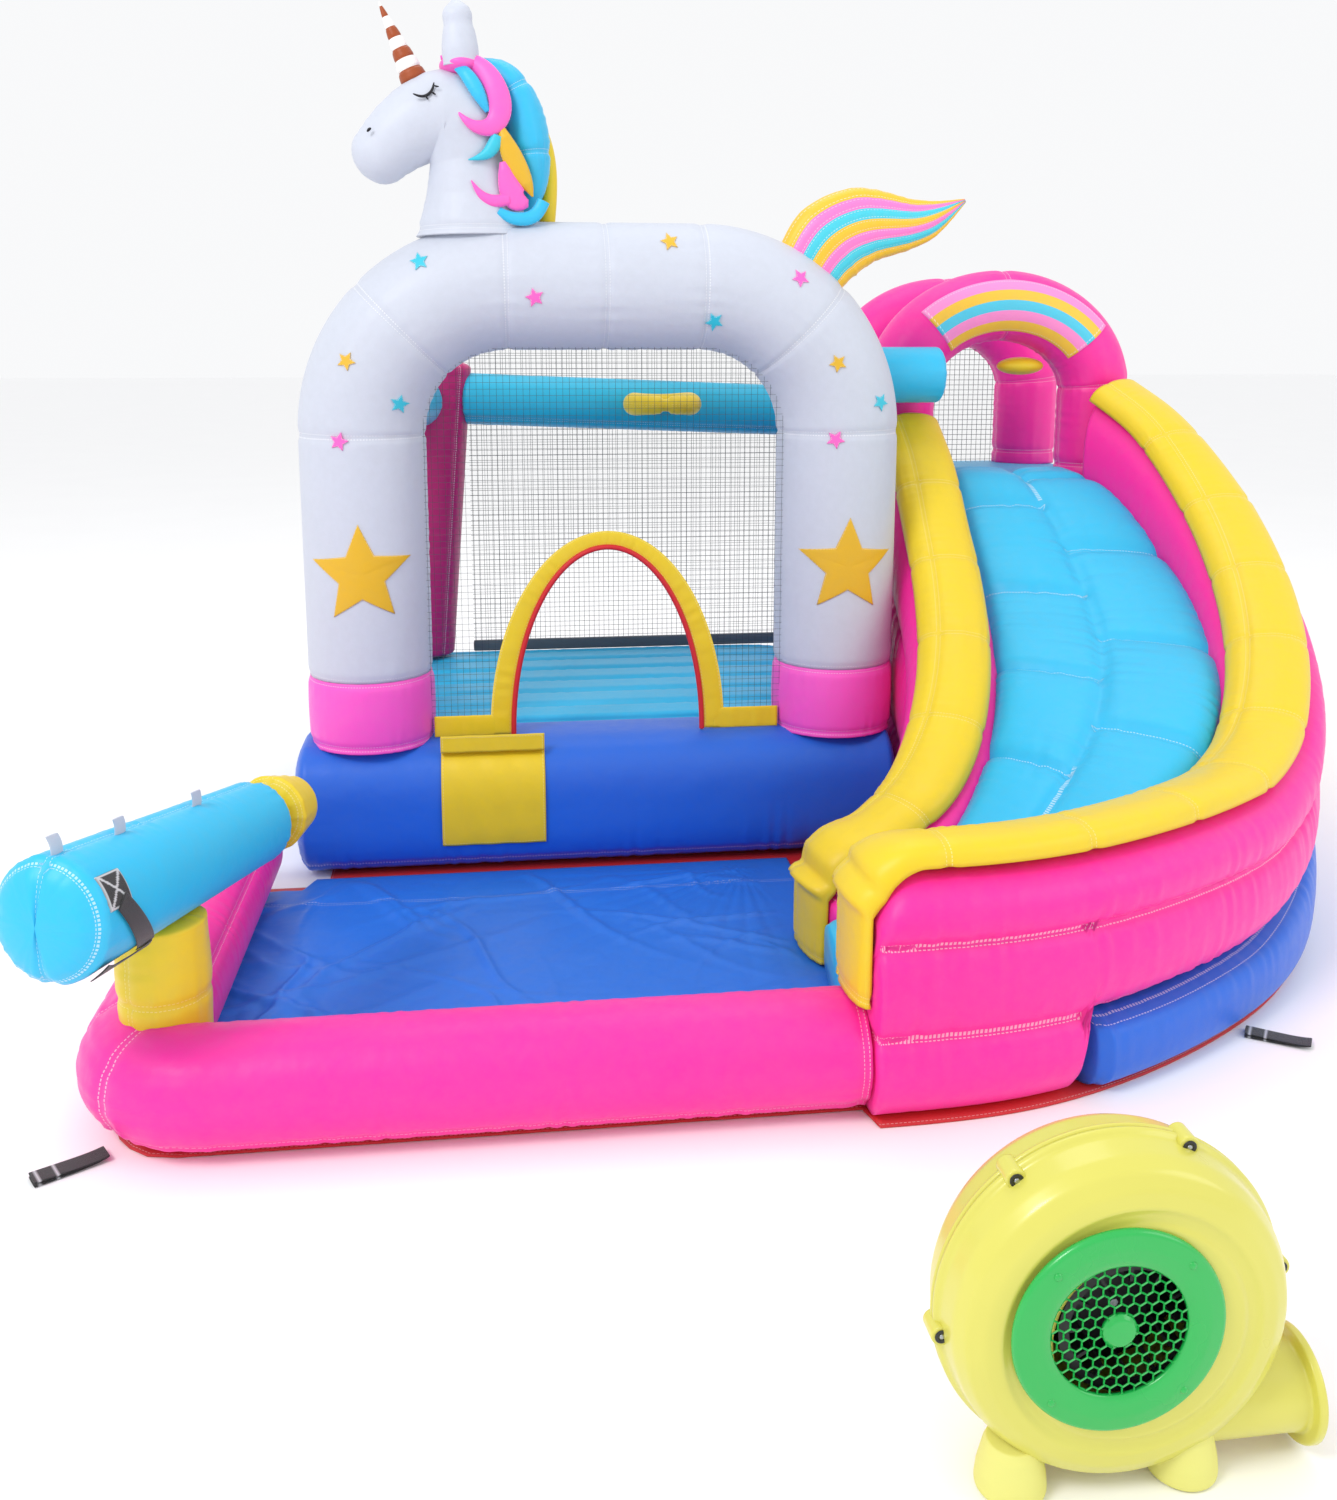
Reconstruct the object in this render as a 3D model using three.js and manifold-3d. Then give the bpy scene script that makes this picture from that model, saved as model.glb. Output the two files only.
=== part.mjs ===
// Inflatable bounce house with an arched entry, a splash pool, a curved slide, a toy cannon and its blower.
// Millimetres, +Z up. The white arch stands over X = 0 and Y = 0 while the parts are made; the pool lies
// towards -Y and the slide tower towards +X. The whole group is moved at the end so that the origin is under
// the middle.
import * as THREE from 'three';
import { mergeVertices } from 'three/addons/utils/BufferGeometryUtils.js';
import { RoundedBoxGeometry } from 'three/addons/geometries/RoundedBoxGeometry.js';
import Module from 'manifold-3d';

const wasm = await Module();
wasm.setup();

// ---- driving dimensions ----
const GAP = 0.3; // clearance that neighbouring chambers keep
const SHEET = 6; // thickness of the ground sheet
const NET = 3; // thickness of a net panel

const ARCH_HALF = 735.5; // from the middle of the arch to a leg's axis
const ARCH_TUBE = 190; // radius of the arch chamber
const ARCH_CORNER = 440; // radius of the arch's shoulders, on its axis
const ARCH_TOP = 1800; // height of the arch's axis at the top
const BASE_TOP = 418; // top of the front bolster, under the legs
const BAND_TOP = 625; // top of the leg bands

const BASE_HALF_DEPTH = 205;
const BASE_LEFT = -950;
const BASE_RIGHT = 900;
const FLOOR_TOP = 412; // top of the jumping floor
const FLOOR_THICK = 60;
const FLOOR_BACK = 1240; // rear edge of the jumping floor
const BACK_Y = 1150; // plane of the rear beam and its net
const BEAM_TUBE = 98; // radius of the horizontal beams
const BEAM_LEFT_Z = 1417;
const BEAM_RIGHT_Z = 1360;

const POOL_TUBE = 125; // radius of the pool's walls
const POOL_LEFT_X = -1120;
const POOL_FRONT_Y = -1578;
const POOL_RIGHT_X = 430; // where the front wall meets the slide's outer wall

const SLIDE_HALF = 122; // half thickness of the slide's side walls
const SLIDE_BULGE = 1.1; // how far a wall's middle swells past its edges
const CAP_HEIGHT = 70; // depth of the padded cap on a wall
const SLIDE_STEPS = 22;
const BED_THICK = 170;
const BED_CLEAR = 24; // between the bed and a wall's foot

const TOWER_X = 1446; // middle of the tower's doorway
const TOWER_HALF = 358.5; // from there to a post's axis
const TOWER_TUBE = 123;
const TOWER_FRONT_Y = 505;
const TOWER_BACK_Y = 1150;
const TOWER_DECK = 1150; // height of the tower's deck
const TOWER_SPRING = 1460; // where the tower's arches begin to curve
const TOWER_RISE = 300;

const BLOWER_X = 524;
const BLOWER_Y = -2570; // joint plane of the two casing halves
const BLOWER_Z = 270;
const CASING_RADIUS = 256;
const CASING_DEPTH = 95; // of each half
const CASING_WALL = 5;
const INTAKE_RADIUS = 118;
const OUTLET_Z = 88;
const OUTLET_RADIUS = 58;
const OUTLET_END = 838;

// ---- finishes ----
const finish = (color, roughness = 0.55, metalness = 0) => ({ color, roughness, metalness });
const PINK = finish(0xff3dbb, 0.5);
const PALE_PINK = finish(0xff8ad2, 0.5);
const MAGENTA = finish(0xc0128f, 0.55);
const WHITE = finish(0xf4f6ff, 0.5);
const BLUE = finish(0x1452cf, 0.5);
const CYAN = finish(0x3cc4e0, 0.5);
const YELLOW = finish(0xf3ea1c, 0.5);
const RED = finish(0xd8102a, 0.55);
const NETTING = finish(0x3a3d44, 0.8);
const WEBBING = finish(0x17181b, 0.8);
const HORN = finish(0x9a5a34, 0.5);
const BLOWER_SHELL = finish(0xeeec84, 0.38);
const BLOWER_GREEN = finish(0x2bbb5c, 0.35);
const DARK_PLASTIC = finish(0x202226, 0.5);
const STEEL = finish(0xb8bcc2, 0.35, 0.9);
const RUBBER = finish(0xe2df7d, 0.6);

// ---- making and joining solids ----
const house = new THREE.Group();

function add(name, geometry, look, parent = house) {
  const material = new THREE.MeshStandardMaterial(look);
  const mesh = new THREE.Mesh(geometry, material);
  mesh.name = name;
  parent.add(mesh);
  return mesh;
}

function toSolid(geometry) {
  const bare = geometry.clone();
  bare.deleteAttribute('normal');
  bare.deleteAttribute('uv');
  const merged = mergeVertices(bare, 0.001);
  const mesh = new wasm.Mesh({
    numProp: 3,
    vertProperties: new Float32Array(merged.attributes.position.array),
    triVerts: new Uint32Array(merged.index.array),
  });
  return new wasm.Manifold(mesh);
}

function toGeometry(solid) {
  const mesh = solid.getMesh();
  const geometry = new THREE.BufferGeometry();
  geometry.setAttribute('position', new THREE.Float32BufferAttribute(mesh.vertProperties, 3));
  geometry.setIndex([...mesh.triVerts]);
  geometry.computeVertexNormals();
  return geometry;
}

function cut(geometry, ...tools) {
  return toGeometry(tools.reduce((body, tool) => body.subtract(toSolid(tool)), toSolid(geometry)));
}

function join(first, ...others) {
  return toGeometry(others.reduce((body, other) => body.add(toSolid(other)), toSolid(first)));
}

// Closed geometry whose triangles are turned so that their signed volume is positive.
function facingOut(points, index) {
  let volume = 0;
  for (let i = 0; i < index.length; i += 3) {
    const [a, b, c] = [points[index[i]], points[index[i + 1]], points[index[i + 2]]];
    volume += a.dot(new THREE.Vector3().crossVectors(b, c));
  }
  if (volume < 0) index.reverse();
  const geometry = new THREE.BufferGeometry();
  geometry.setAttribute('position', new THREE.Float32BufferAttribute(points.flatMap((p) => p.toArray()), 3));
  geometry.setIndex(index);
  geometry.computeVertexNormals();
  return geometry;
}

// Skin over rings of equal length, with a fan over each end, turned so that its faces point outwards.
function loft(rings) {
  const size = rings[0].length;
  const points = rings.flat();
  const index = [];
  for (let i = 0; i < rings.length - 1; i += 1) {
    for (let j = 0; j < size; j += 1) {
      const a = i * size + j;
      const b = i * size + ((j + 1) % size);
      index.push(a, b, a + size, b, b + size, a + size);
    }
  }
  [0, rings.length - 1].forEach((ring, end) => {
    const middle = new THREE.Vector3();
    rings[ring].forEach((p) => middle.addScaledVector(p, 1 / size));
    points.push(middle);
    for (let j = 0; j < size; j += 1) {
      const a = ring * size + j;
      const b = ring * size + ((j + 1) % size);
      index.push(...(end ? [a, b, points.length - 1] : [b, a, points.length - 1]));
    }
  });
  return facingOut(points, index);
}

// Carries a section along a path in the plane across `axis`; section(i) gives pairs of offsets, across the
// path and along `axis`.
// dome > 0 rounds both ends off by that length.
function sweep(path, axis, section, dome = 0) {
  const last = path.length - 1;
  const tangent = (i) => path[Math.min(i + 1, last)].clone().sub(path[Math.max(i - 1, 0)]).normalize();
  const ring = (i) => {
    const across = tangent(i).cross(axis).normalize();
    return section(i).map(([a, b]) => path[i].clone().addScaledVector(across, a).addScaledVector(axis, b));
  };
  const rings = path.map((_, i) => ring(i));
  const capped = (i, sign, reach, scale) => {
    const shift = tangent(i).multiplyScalar(sign * reach);
    const middle = new THREE.Vector3();
    rings[i].forEach((p) => middle.addScaledVector(p, 1 / rings[i].length));
    return rings[i].map((p) => p.clone().sub(middle).multiplyScalar(scale).add(middle).add(shift));
  };
  if (!dome) return loft(rings);
  return loft([
    capped(0, -1, dome, 0.45), capped(0, -1, dome * 0.7, 0.78), ...rings,
    capped(last, 1, dome * 0.7, 0.78), capped(last, 1, dome, 0.45),
  ]);
}

const Y = new THREE.Vector3(0, 1, 0);
const Z = new THREE.Vector3(0, 0, 1);
const at = (x, y, z) => new THREE.Vector3(x, y, z);

// Superellipse section of half sizes a and b; power 2 is an ellipse and higher powers are squarer.
function oval(a, b, power = 2, sides = 16, middle = 0) {
  return Array.from({ length: sides }, (_, i) => {
    const turn = ((i + 0.5) / sides) * 2 * Math.PI;
    const bend = (v) => Math.sign(v) * Math.abs(v) ** (2 / power);
    return [a * bend(Math.cos(turn)), middle + b * bend(Math.sin(turn))];
  });
}

function tube(path, axis, radius, dome = 0, sides = 16) {
  return sweep(path, axis, () => oval(radius, radius, 2, sides), dome);
}

function upright(radius, bottom, top, x, y, sides = 20, topRadius = radius) {
  const geometry = new THREE.CylinderGeometry(topRadius, radius, top - bottom, sides);
  return geometry.rotateX(Math.PI / 2).translate(x, y, (top + bottom) / 2);
}

function box(x0, x1, y0, y1, z0, z1, radius = 0) {
  const size = [x1 - x0, y1 - y0, z1 - z0];
  const geometry = radius ? new RoundedBoxGeometry(...size, 2, radius) : new THREE.BoxGeometry(...size);
  return geometry.translate((x0 + x1) / 2, (y0 + y1) / 2, (z0 + z1) / 2);
}

function ball(x, y, z, rx, ry, rz, turn = 0) {
  const geometry = new THREE.SphereGeometry(1, 12, 8).scale(rx, ry, rz);
  return geometry.rotateY(turn).translate(x, y, z);
}

// Flat outline in X and Z, as thick as `depth` along Y from y0.
function panel(shape, y0, depth) {
  return new THREE.ExtrudeGeometry(shape, { depth, bevelEnabled: false, curveSegments: 16 })
    .rotateX(Math.PI / 2).translate(0, y0 + depth, 0);
}

// Value at u of a curve through [u, value] pairs.
function along(pairs, u) {
  const next = Math.max(1, pairs.findIndex(([start]) => start >= u));
  const [[u0, v0], [u1, v1]] = [pairs[next - 1], pairs[next]];
  const t = (u - u0) / (u1 - u0);
  return v0 + (v1 - v0) * t;
}

// ---- base, floor and ground sheet ----
const GROUND = SHEET + GAP;

add('base_front', sweep([at(BASE_LEFT, 0, 0), at(BASE_RIGHT, 0, 0)], Z, () => oval(
  BASE_HALF_DEPTH, (BASE_TOP - GROUND) / 2, 3.4, 20, (BASE_TOP + GROUND) / 2), 28), BLUE);

const floorBottom = FLOOR_TOP - FLOOR_THICK;
const behindBase = BASE_HALF_DEPTH + 6;
const blockBack = FLOOR_BACK + 60;
const blockSoft = 45; // radius of a mattress chamber's edges
const mattress = box(BASE_LEFT + 30, BASE_RIGHT, behindBase, blockBack, GROUND, floorBottom - GAP, blockSoft);
add('base_block', mattress, BLUE);
add('jump_floor', box(BASE_LEFT + 80, BASE_RIGHT, behindBase, FLOOR_BACK, floorBottom, FLOOR_TOP, 22), CYAN);

// ---- white arch and its leg bands ----
function archPath(half, foot, spring, rise, corner, y, middle = 0) {
  const turns = 8;
  const left = [at(middle - half, y, foot), at(middle - half, y, spring)];
  for (let i = 1; i <= turns; i += 1) {
    const turn = (i / turns) * (Math.PI / 2);
    left.push(at(middle - half + corner * (1 - Math.cos(turn)), y, spring + rise * Math.sin(turn)));
  }
  const right = left.map((p) => at(2 * middle - p.x, y, p.z)).reverse();
  return [...left, ...(corner < half ? right : right.slice(1))];
}

const archSpring = ARCH_TOP - ARCH_CORNER;
const mainArch = (foot, grow = 0) => tube(archPath(ARCH_HALF, foot, archSpring, ARCH_CORNER, ARCH_CORNER, 0),
  Y, ARCH_TUBE + grow, 0, 20);
add('white_arch', mainArch(BAND_TOP + GAP), WHITE);
[['left', -1], ['right', 1]].forEach(([side, sign]) => {
  add(`leg_band_${side}`, upright(ARCH_TUBE + 3, BASE_TOP + GAP, BAND_TOP, sign * ARCH_HALF, 0), PALE_PINK);
});

// ---- rear post, beams and the link to the tower ----
const postFoot = FLOOR_TOP + 14;
const POST_RADIUS = 140;
add('back_post_left', tube([at(-655, BACK_Y, postFoot), at(-560, BACK_Y, 1560)], Y, POST_RADIUS, 0), MAGENTA);

const beamStart = -560 + POST_RADIUS + 12;
const towerPostLeft = TOWER_X - TOWER_HALF;
const beamEnd = towerPostLeft - TOWER_TUBE - 6;
const backBeamPath = [at(beamStart, BACK_Y, BEAM_LEFT_Z), at(beamEnd, BACK_Y, BEAM_RIGHT_Z)];
add('back_beam', tube(backBeamPath, Y, BEAM_TUBE), CYAN);
const leftBeamPath = [at(-735, ARCH_TUBE + 8, BEAM_LEFT_Z + 6),
  at(-620, BACK_Y - POST_RADIUS - 12, BEAM_LEFT_Z)];
const rightBeamPath = [at(760, ARCH_TUBE + 60, BEAM_RIGHT_Z),
  at(905, BACK_Y - BEAM_TUBE - 34, BEAM_RIGHT_Z)];
add('side_beam_left', tube(leftBeamPath, Z, BEAM_TUBE), CYAN);
add('side_beam_right', tube(rightBeamPath, Z, BEAM_TUBE), CYAN);
add('link_tube', tube([at(930, 287, 1525), at(1150, 287, 1525)], Z, 93, 34), CYAN);

// ---- nets, entry band, binding and hoop ----
const ENTRY_HALF = 370;
const ENTRY_TOP = 1060;
const ENTRY_BAND = 66;
const ENTRY_BAND_TOP = 44;
const ENTRY_FOOT = BASE_TOP + 4;

// Outline of the entry: half an ellipse that stands on two short upright stretches below `foot`.
function entryShape(half, top, foot, drop = 0) {
  const shape = new THREE.Shape();
  shape.moveTo(half, foot - drop);
  shape.absellipse(0, foot, half, top - foot, 0, Math.PI, false);
  if (drop) shape.lineTo(-half, foot - drop);
  shape.closePath();
  return shape;
}

const NET_SIDE = ARCH_HALF - ARCH_TUBE - 4;
const netOutline = new THREE.Shape();
const netCrown = ARCH_TOP - ARCH_TUBE - 6;
netOutline.moveTo(-NET_SIDE, ENTRY_FOOT);
netOutline.lineTo(NET_SIDE, ENTRY_FOOT);
netOutline.lineTo(NET_SIDE, 1350);
netOutline.quadraticCurveTo(NET_SIDE - 30, netCrown - 20, 290, netCrown);
netOutline.lineTo(-290, netCrown);
netOutline.quadraticCurveTo(-NET_SIDE + 30, netCrown - 20, -NET_SIDE, 1350);
netOutline.closePath();
const entryHole = panel(entryShape(ENTRY_HALF + 2, ENTRY_TOP + 2, ENTRY_FOOT, 40), -80, 80);
add('net_front', cut(panel(netOutline, -60, NET), entryHole), NETTING);

const wings = box(-NET_SIDE, NET_SIDE, -72, -64, ENTRY_FOOT, ENTRY_FOOT + 58);
const bandOuter = panel(entryShape(ENTRY_HALF, ENTRY_TOP, ENTRY_FOOT), -72, 8);
const bandHole = entryShape(ENTRY_HALF - ENTRY_BAND, ENTRY_TOP - ENTRY_BAND_TOP, ENTRY_FOOT, 30);
const bandInner = panel(bandHole, -90, 40);
add('entry_band', cut(join(wings, bandOuter), bandInner), YELLOW);

const BINDING = 4.5; // radius of the entry's piped edge
const bindingHalf = ENTRY_HALF - ENTRY_BAND - BINDING - 2;
const bindingRise = ENTRY_TOP - ENTRY_BAND_TOP - BINDING - 2 - ENTRY_FOOT;
const bindingSteps = 20;
const bindingPath = Array.from({ length: bindingSteps + 1 }, (_, i) => {
  const turn = Math.PI * (1 - i / bindingSteps);
  return at(bindingHalf * Math.cos(turn), -68, ENTRY_FOOT + 1 + bindingRise * Math.sin(turn));
});
add('entry_binding', tube(bindingPath, Y, BINDING, 0, 6), RED);
add('label_patch', box(-522, -206, -BASE_HALF_DEPTH - 12, -BASE_HALF_DEPTH - 8, 112, 452), YELLOW);

const netTop = 1640;
const netBackY = BACK_Y + BEAM_TUBE + 3;
add('net_back', box(-438, beamEnd, netBackY, netBackY + NET, FLOOR_TOP + 3, netTop), NETTING);
const sideNetTop = BEAM_LEFT_Z + 90;
const sideNet = sweep([at(-848, ARCH_TUBE + 20, 0), at(-815, BACK_Y, 0)], Z, () => [
  [-NET / 2, postFoot], [NET / 2, postFoot], [NET / 2, sideNetTop], [-NET / 2, sideNetTop]]);
add('net_left', sideNet, NETTING);

const HOOP_RADIUS = 105;
const HOOP_TUBE = 42;
const HOOP_REACH = BEAM_TUBE + HOOP_RADIUS + HOOP_TUBE + 4;
const hoop = new THREE.TorusGeometry(HOOP_RADIUS, HOOP_TUBE, 12, 24);
add('hoop_ring', hoop.translate(289, BACK_Y - HOOP_REACH, 1405), YELLOW);

// ---- unicorn head, horn, ears, mane and tail ----
const archCrown = ARCH_TOP + ARCH_TUBE;
const neckPath = [at(-385, 0, archCrown - 30), at(-392, 0, 2120), at(-405, 0, 2290)];
const neck = sweep(neckPath, Y, (i) => oval([165, 118, 115][i], [130, 100, 100][i]));
const archBody = mainArch(BAND_TOP, 1);
const skull = ball(-425, 0, 2305, 135, 125, 130);
const head = join(neck, skull, ball(-540, 0, 2265, 170, 98, 92, -0.5), ball(-640, 0, 2190, 88, 84, 84));
add('unicorn_head', cut(head, archBody), WHITE);

const HORN_LENGTH = 225;
const hornCone = new THREE.ConeGeometry(38, HORN_LENGTH, 20);
const horn = hornCone.translate(0, HORN_LENGTH / 2, 0).rotateX(Math.PI / 2);
add('unicorn_horn', horn.rotateY(-0.42).translate(-552, 0, 2398), HORN);
const earPair = [-46, 46].map((y) => ball(-422, y, 2505, 40, 34, 86));
const ears = join(...earPair, ball(-422, 0, 2462, 46, 66, 40));
add('unicorn_ears', cut(ears, slightlyGrown(skull)), WHITE);

const manePath = [at(-345, 0, 2426), at(-298, 0, 2395), at(-250, 0, 2310), at(-228, 0, 2200),
  at(-228, 0, 2090), at(-232, 0, archCrown + 8)];
const mane = sweep(manePath, Y, (i) => oval([22, 62, 74, 70, 55, 34][i], [40, 78, 88, 86, 76, 60][i]), 20);
add('unicorn_mane', cut(mane, slightlyGrown(head), archBody), CYAN);

function slightlyGrown(geometry) {
  const grown = geometry.clone();
  grown.computeBoundingBox();
  const middle = grown.boundingBox.getCenter(new THREE.Vector3());
  return grown.translate(-middle.x, -middle.y, -middle.z).scale(1.004, 1.02, 1.004)
    .translate(middle.x, middle.y, middle.z);
}

const tailPath = [at(640, 0, 1850), at(700, 0, 1935), at(800, 0, 1985), at(905, 0, 1993), at(1010, 0, 2010),
  at(1105, 0, 2055)];
const tail = sweep(tailPath, Y, (i) => oval([120, 132, 122, 92, 62, 24][i], [50, 62, 60, 52, 40, 20][i]), 22);
add('unicorn_tail', cut(tail, archBody), CYAN);

// ---- pool ----
const poolZ = GROUND + POOL_TUBE;
const corner = 0.35;
const wallStart = -BASE_HALF_DEPTH - 12;
const bend = POOL_TUBE * (1 + corner);
const cornerPath = (start, end) => Array.from({ length: 6 }, (_, i) => {
  const turn = start + ((end - start) * i) / 5;
  return at(POOL_LEFT_X + bend - bend * Math.cos(turn), POOL_FRONT_Y + bend - bend * Math.sin(turn), poolZ);
});
const cornerEnd = at(POOL_LEFT_X + bend + 34, POOL_FRONT_Y, poolZ);
const leftWallPath = [at(POOL_LEFT_X, wallStart, poolZ), ...cornerPath(0, Math.PI / 2), cornerEnd];
const frontWallStart = cornerEnd.clone().setX(cornerEnd.x + 2 * GAP);
const frontWallPath = [frontWallStart, at(POOL_RIGHT_X - 10, POOL_FRONT_Y, poolZ)];
add('pool_wall_left', tube(leftWallPath, Z, POOL_TUBE), PINK);
add('pool_wall_front', tube(frontWallPath, Z, POOL_TUBE), PINK);

// ---- slide ----
function spline(points) {
  return new THREE.CatmullRomCurve3(points.map(([x, y]) => at(x, y, 0)), false, 'centripetal');
}
const innerCurve = spline([[1080, 372], [1080, 60], [1050, -230], [960, -530], [770, -775], [500, -852]]);
const outerCurve = spline([[1812, 338], [1912, 60], [1928, -350], [1778, -815],
  [1446, -1208], [935, -1500], [650, -1568], [430, -1578]]);
const stations = Array.from({ length: SLIDE_STEPS + 1 }, (_, i) => i / SLIDE_STEPS);
const innerPath = stations.map((u) => innerCurve.getPointAt(u));
const outerPath = stations.map((u) => outerCurve.getPointAt(u));
// Heights from the tower (0) to the exit (1).
const INNER_TOP = [[0, 1408], [0.11, 1290], [0.24, 1080], [0.43, 860], [0.56, 720], [0.78, 480], [0.9, 375],
  [1, 345]];
const OUTER_TOP = [[0, 1515], [0.065, 1425], [0.16, 1235], [0.27, 1030], [0.38, 850], [0.51, 665], [0.6, 612],
  [1, 612]];
const SKIRT_TOP = [[0, 760], [0.3, 480], [0.5, 260], [0.62, 195], [0.76, 182], [1, 182]];
const SKIRT_END = 0.84; // the blue foot stops here
const BED_TOP = [[0, 1192], [0.05, 1180], [0.19, 960], [0.32, 800], [0.46, 675], [0.56, 575], [0.66, 480],
  [0.85, 270], [1, 150]];
// Half thickness of each wall's foot on the side of the bed.
const INNER_FOOT = [[0, 125], [0.3, 150], [0.7, 150], [1, 120]];
const OUTER_FOOT = [[0, 130], [0.15, 230], [0.3, 250], [0.45, 180], [0.6, 130], [1, 120]];

// Section of a side wall: the bed's side swells from the cap's width to `foot`.
function wallSection(half, bottom, top, foot, side = 1) {
  const middle = (bottom + top) / 2;
  const lift = Math.min(45, (middle - bottom) * 0.6);
  const belly = Math.max(half * SLIDE_BULGE, (half + foot) / 2);
  const outline = [[-half * 0.86, bottom], [foot * 0.9, bottom], [foot, bottom + lift], [belly, middle],
    [half, top - 14], [half * 0.93, top], [-half * 0.93, top], [-half, top - 14],
    [-half * SLIDE_BULGE, middle], [-half, bottom + lift]];
  return outline.map(([a, z]) => [side * a, z]);
}

function capSection(half, bottom, top) {
  const rise = top - bottom;
  return [[-half * 0.97, bottom], [half * 0.97, bottom], [half * 1.03, bottom + rise * 0.45],
    [half * 0.7, bottom + rise * 0.86], [0, top], [-half * 0.7, bottom + rise * 0.86],
    [-half * 1.03, bottom + rise * 0.45]];
}

const bodyTop = (heights, i) => along(heights, stations[i]) - CAP_HEIGHT;
const skirtTop = (i) => along(SKIRT_TOP, stations[i]);
const skirtLast = Math.round(SKIRT_END * SLIDE_STEPS);
add('slide_wall_inner', sweep(innerPath, Z, (i) => wallSection(SLIDE_HALF, GROUND, bodyTop(INNER_TOP, i),
  along(INNER_FOOT, stations[i]), -1)), PINK);
add('slide_cap_inner', sweep(innerPath, Z, (i) => capSection(SLIDE_HALF, bodyTop(INNER_TOP, i) + 2 * GAP,
  along(INNER_TOP, stations[i]))), YELLOW);
const outerFoot = (i) => along(OUTER_FOOT, stations[i]);
const upperWall = (i) => wallSection(SLIDE_HALF, skirtTop(i) + 2 * GAP, bodyTop(OUTER_TOP, i), outerFoot(i));
const fullWall = (i) => wallSection(SLIDE_HALF, GROUND, bodyTop(OUTER_TOP, i), outerFoot(i));
const beforeSkirtEnd = (t) => outerPath[skirtLast].clone().lerp(outerPath[skirtLast - 1], t);
const steppedPath = [...outerPath.slice(0, skirtLast), beforeSkirtEnd(0.02), ...outerPath.slice(skirtLast)];
const steppedWall = sweep(steppedPath, Z, (i) => (i <= skirtLast ? upperWall(i) : fullWall(i - 1)));
add('slide_wall_outer', steppedWall, PINK);
const skirtPath = [...outerPath.slice(0, skirtLast), beforeSkirtEnd(0.2)];
const skirtSection = (i) => wallSection(SLIDE_HALF + 4, GROUND, skirtTop(i), outerFoot(i));
add('slide_skirt', sweep(skirtPath, Z, skirtSection), BLUE);
add('slide_cap_outer', sweep(outerPath, Z, (i) => capSection(SLIDE_HALF, bodyTop(OUTER_TOP, i) + 2 * GAP,
  along(OUTER_TOP, stations[i]))), YELLOW);

const bedRings = stations.map((u, i) => {
  const towards = outerPath[i].clone().sub(innerPath[i]).normalize();
  const left = innerPath[i].clone().addScaledVector(towards, along(INNER_FOOT, u) + BED_CLEAR);
  const right = outerPath[i].clone().addScaledVector(towards, -outerFoot(i) - BED_CLEAR);
  const top = along(BED_TOP, u);
  const bottom = Math.max(GROUND + 12, top - BED_THICK);
  const put = (t, z) => left.clone().lerp(right, t).setZ(z);
  return [put(0, bottom + 20), put(0.5, bottom), put(1, bottom + 20), put(1, top - 18), put(0.75, top - 2),
    put(0.5, top - 8), put(0.25, top - 2), put(0, top - 18)];
});
add('slide_bed', loft(bedRings), CYAN);

// ---- tower ----
const towerLeft = TOWER_X - TOWER_HALF - TOWER_TUBE;
const towerRight = TOWER_X + TOWER_HALF + TOWER_TUBE;
const deckBottom = TOWER_DECK - 130;
const towerY0 = 390;
const towerY1 = TOWER_BACK_Y + TOWER_TUBE;
const TOWER_BELT = 700; // where the tower's blue foot meets its pink upper chamber
const towerSides = [towerLeft + 4, towerRight, towerY0, towerY1];
add('tower_base', box(...towerSides, GROUND, TOWER_BELT, blockSoft), BLUE);
add('tower_block', box(...towerSides, TOWER_BELT + GAP, deckBottom - GAP, blockSoft), PINK);
add('tower_deck', box(...towerSides, deckBottom, TOWER_DECK, 35), CYAN);

function towerArch(y, foot, grow = 0) {
  const path = archPath(TOWER_HALF, foot, TOWER_SPRING, TOWER_RISE, TOWER_HALF, y, TOWER_X);
  return tube(path, Y, TOWER_TUBE + grow, 0, 16);
}
add('tower_arch_front', towerArch(TOWER_FRONT_Y + 8, TOWER_DECK + GAP), PINK);
add('tower_arch_back', towerArch(TOWER_BACK_Y, TOWER_DECK + GAP), PINK);
const doorHalf = TOWER_HALF - TOWER_TUBE - 6;
const doorCrown = TOWER_SPRING + TOWER_RISE - TOWER_TUBE + 20;
const towerNet = box(TOWER_X - doorHalf, TOWER_X + doorHalf, TOWER_BACK_Y, TOWER_BACK_Y + NET, TOWER_DECK + 3,
  doorCrown);
add('tower_net_back', cut(towerNet, towerArch(TOWER_BACK_Y, TOWER_DECK + GAP, 4)), NETTING);
add('grab_pad', ball(1530, TOWER_FRONT_Y + 8, 1550, 84, 56, 31, 0.1), YELLOW);

// ---- climbing ramp on the tower's far side ----
const RAMP_FOOT_X = 2420;
const rampPath = [at(0, 560, 0), at(0, 1090, 0)];
const rampSide = [[towerRight + 4, GROUND], [RAMP_FOOT_X, GROUND], [RAMP_FOOT_X + 20, 60],
  [RAMP_FOOT_X - 20, 110], [towerRight + 90, TOWER_DECK - 60], [towerRight + 50, TOWER_DECK - 30],
  [towerRight + 4, TOWER_DECK - 40]];
add('climb_ramp', sweep(rampPath, Z, () => rampSide.map(([x, z]) => [x, z])), YELLOW);

// ---- cannon on its post ----
const CANNON_X = -1050;
const CANNON_Y = -1465;
const POST_TOP = 438;
add('cannon_post', cut(upright(95, 170, POST_TOP, CANNON_X, CANNON_Y),
  tube([...leftWallPath, ...frontWallPath.slice(1)], Z, POOL_TUBE + 1)), YELLOW);

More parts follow.
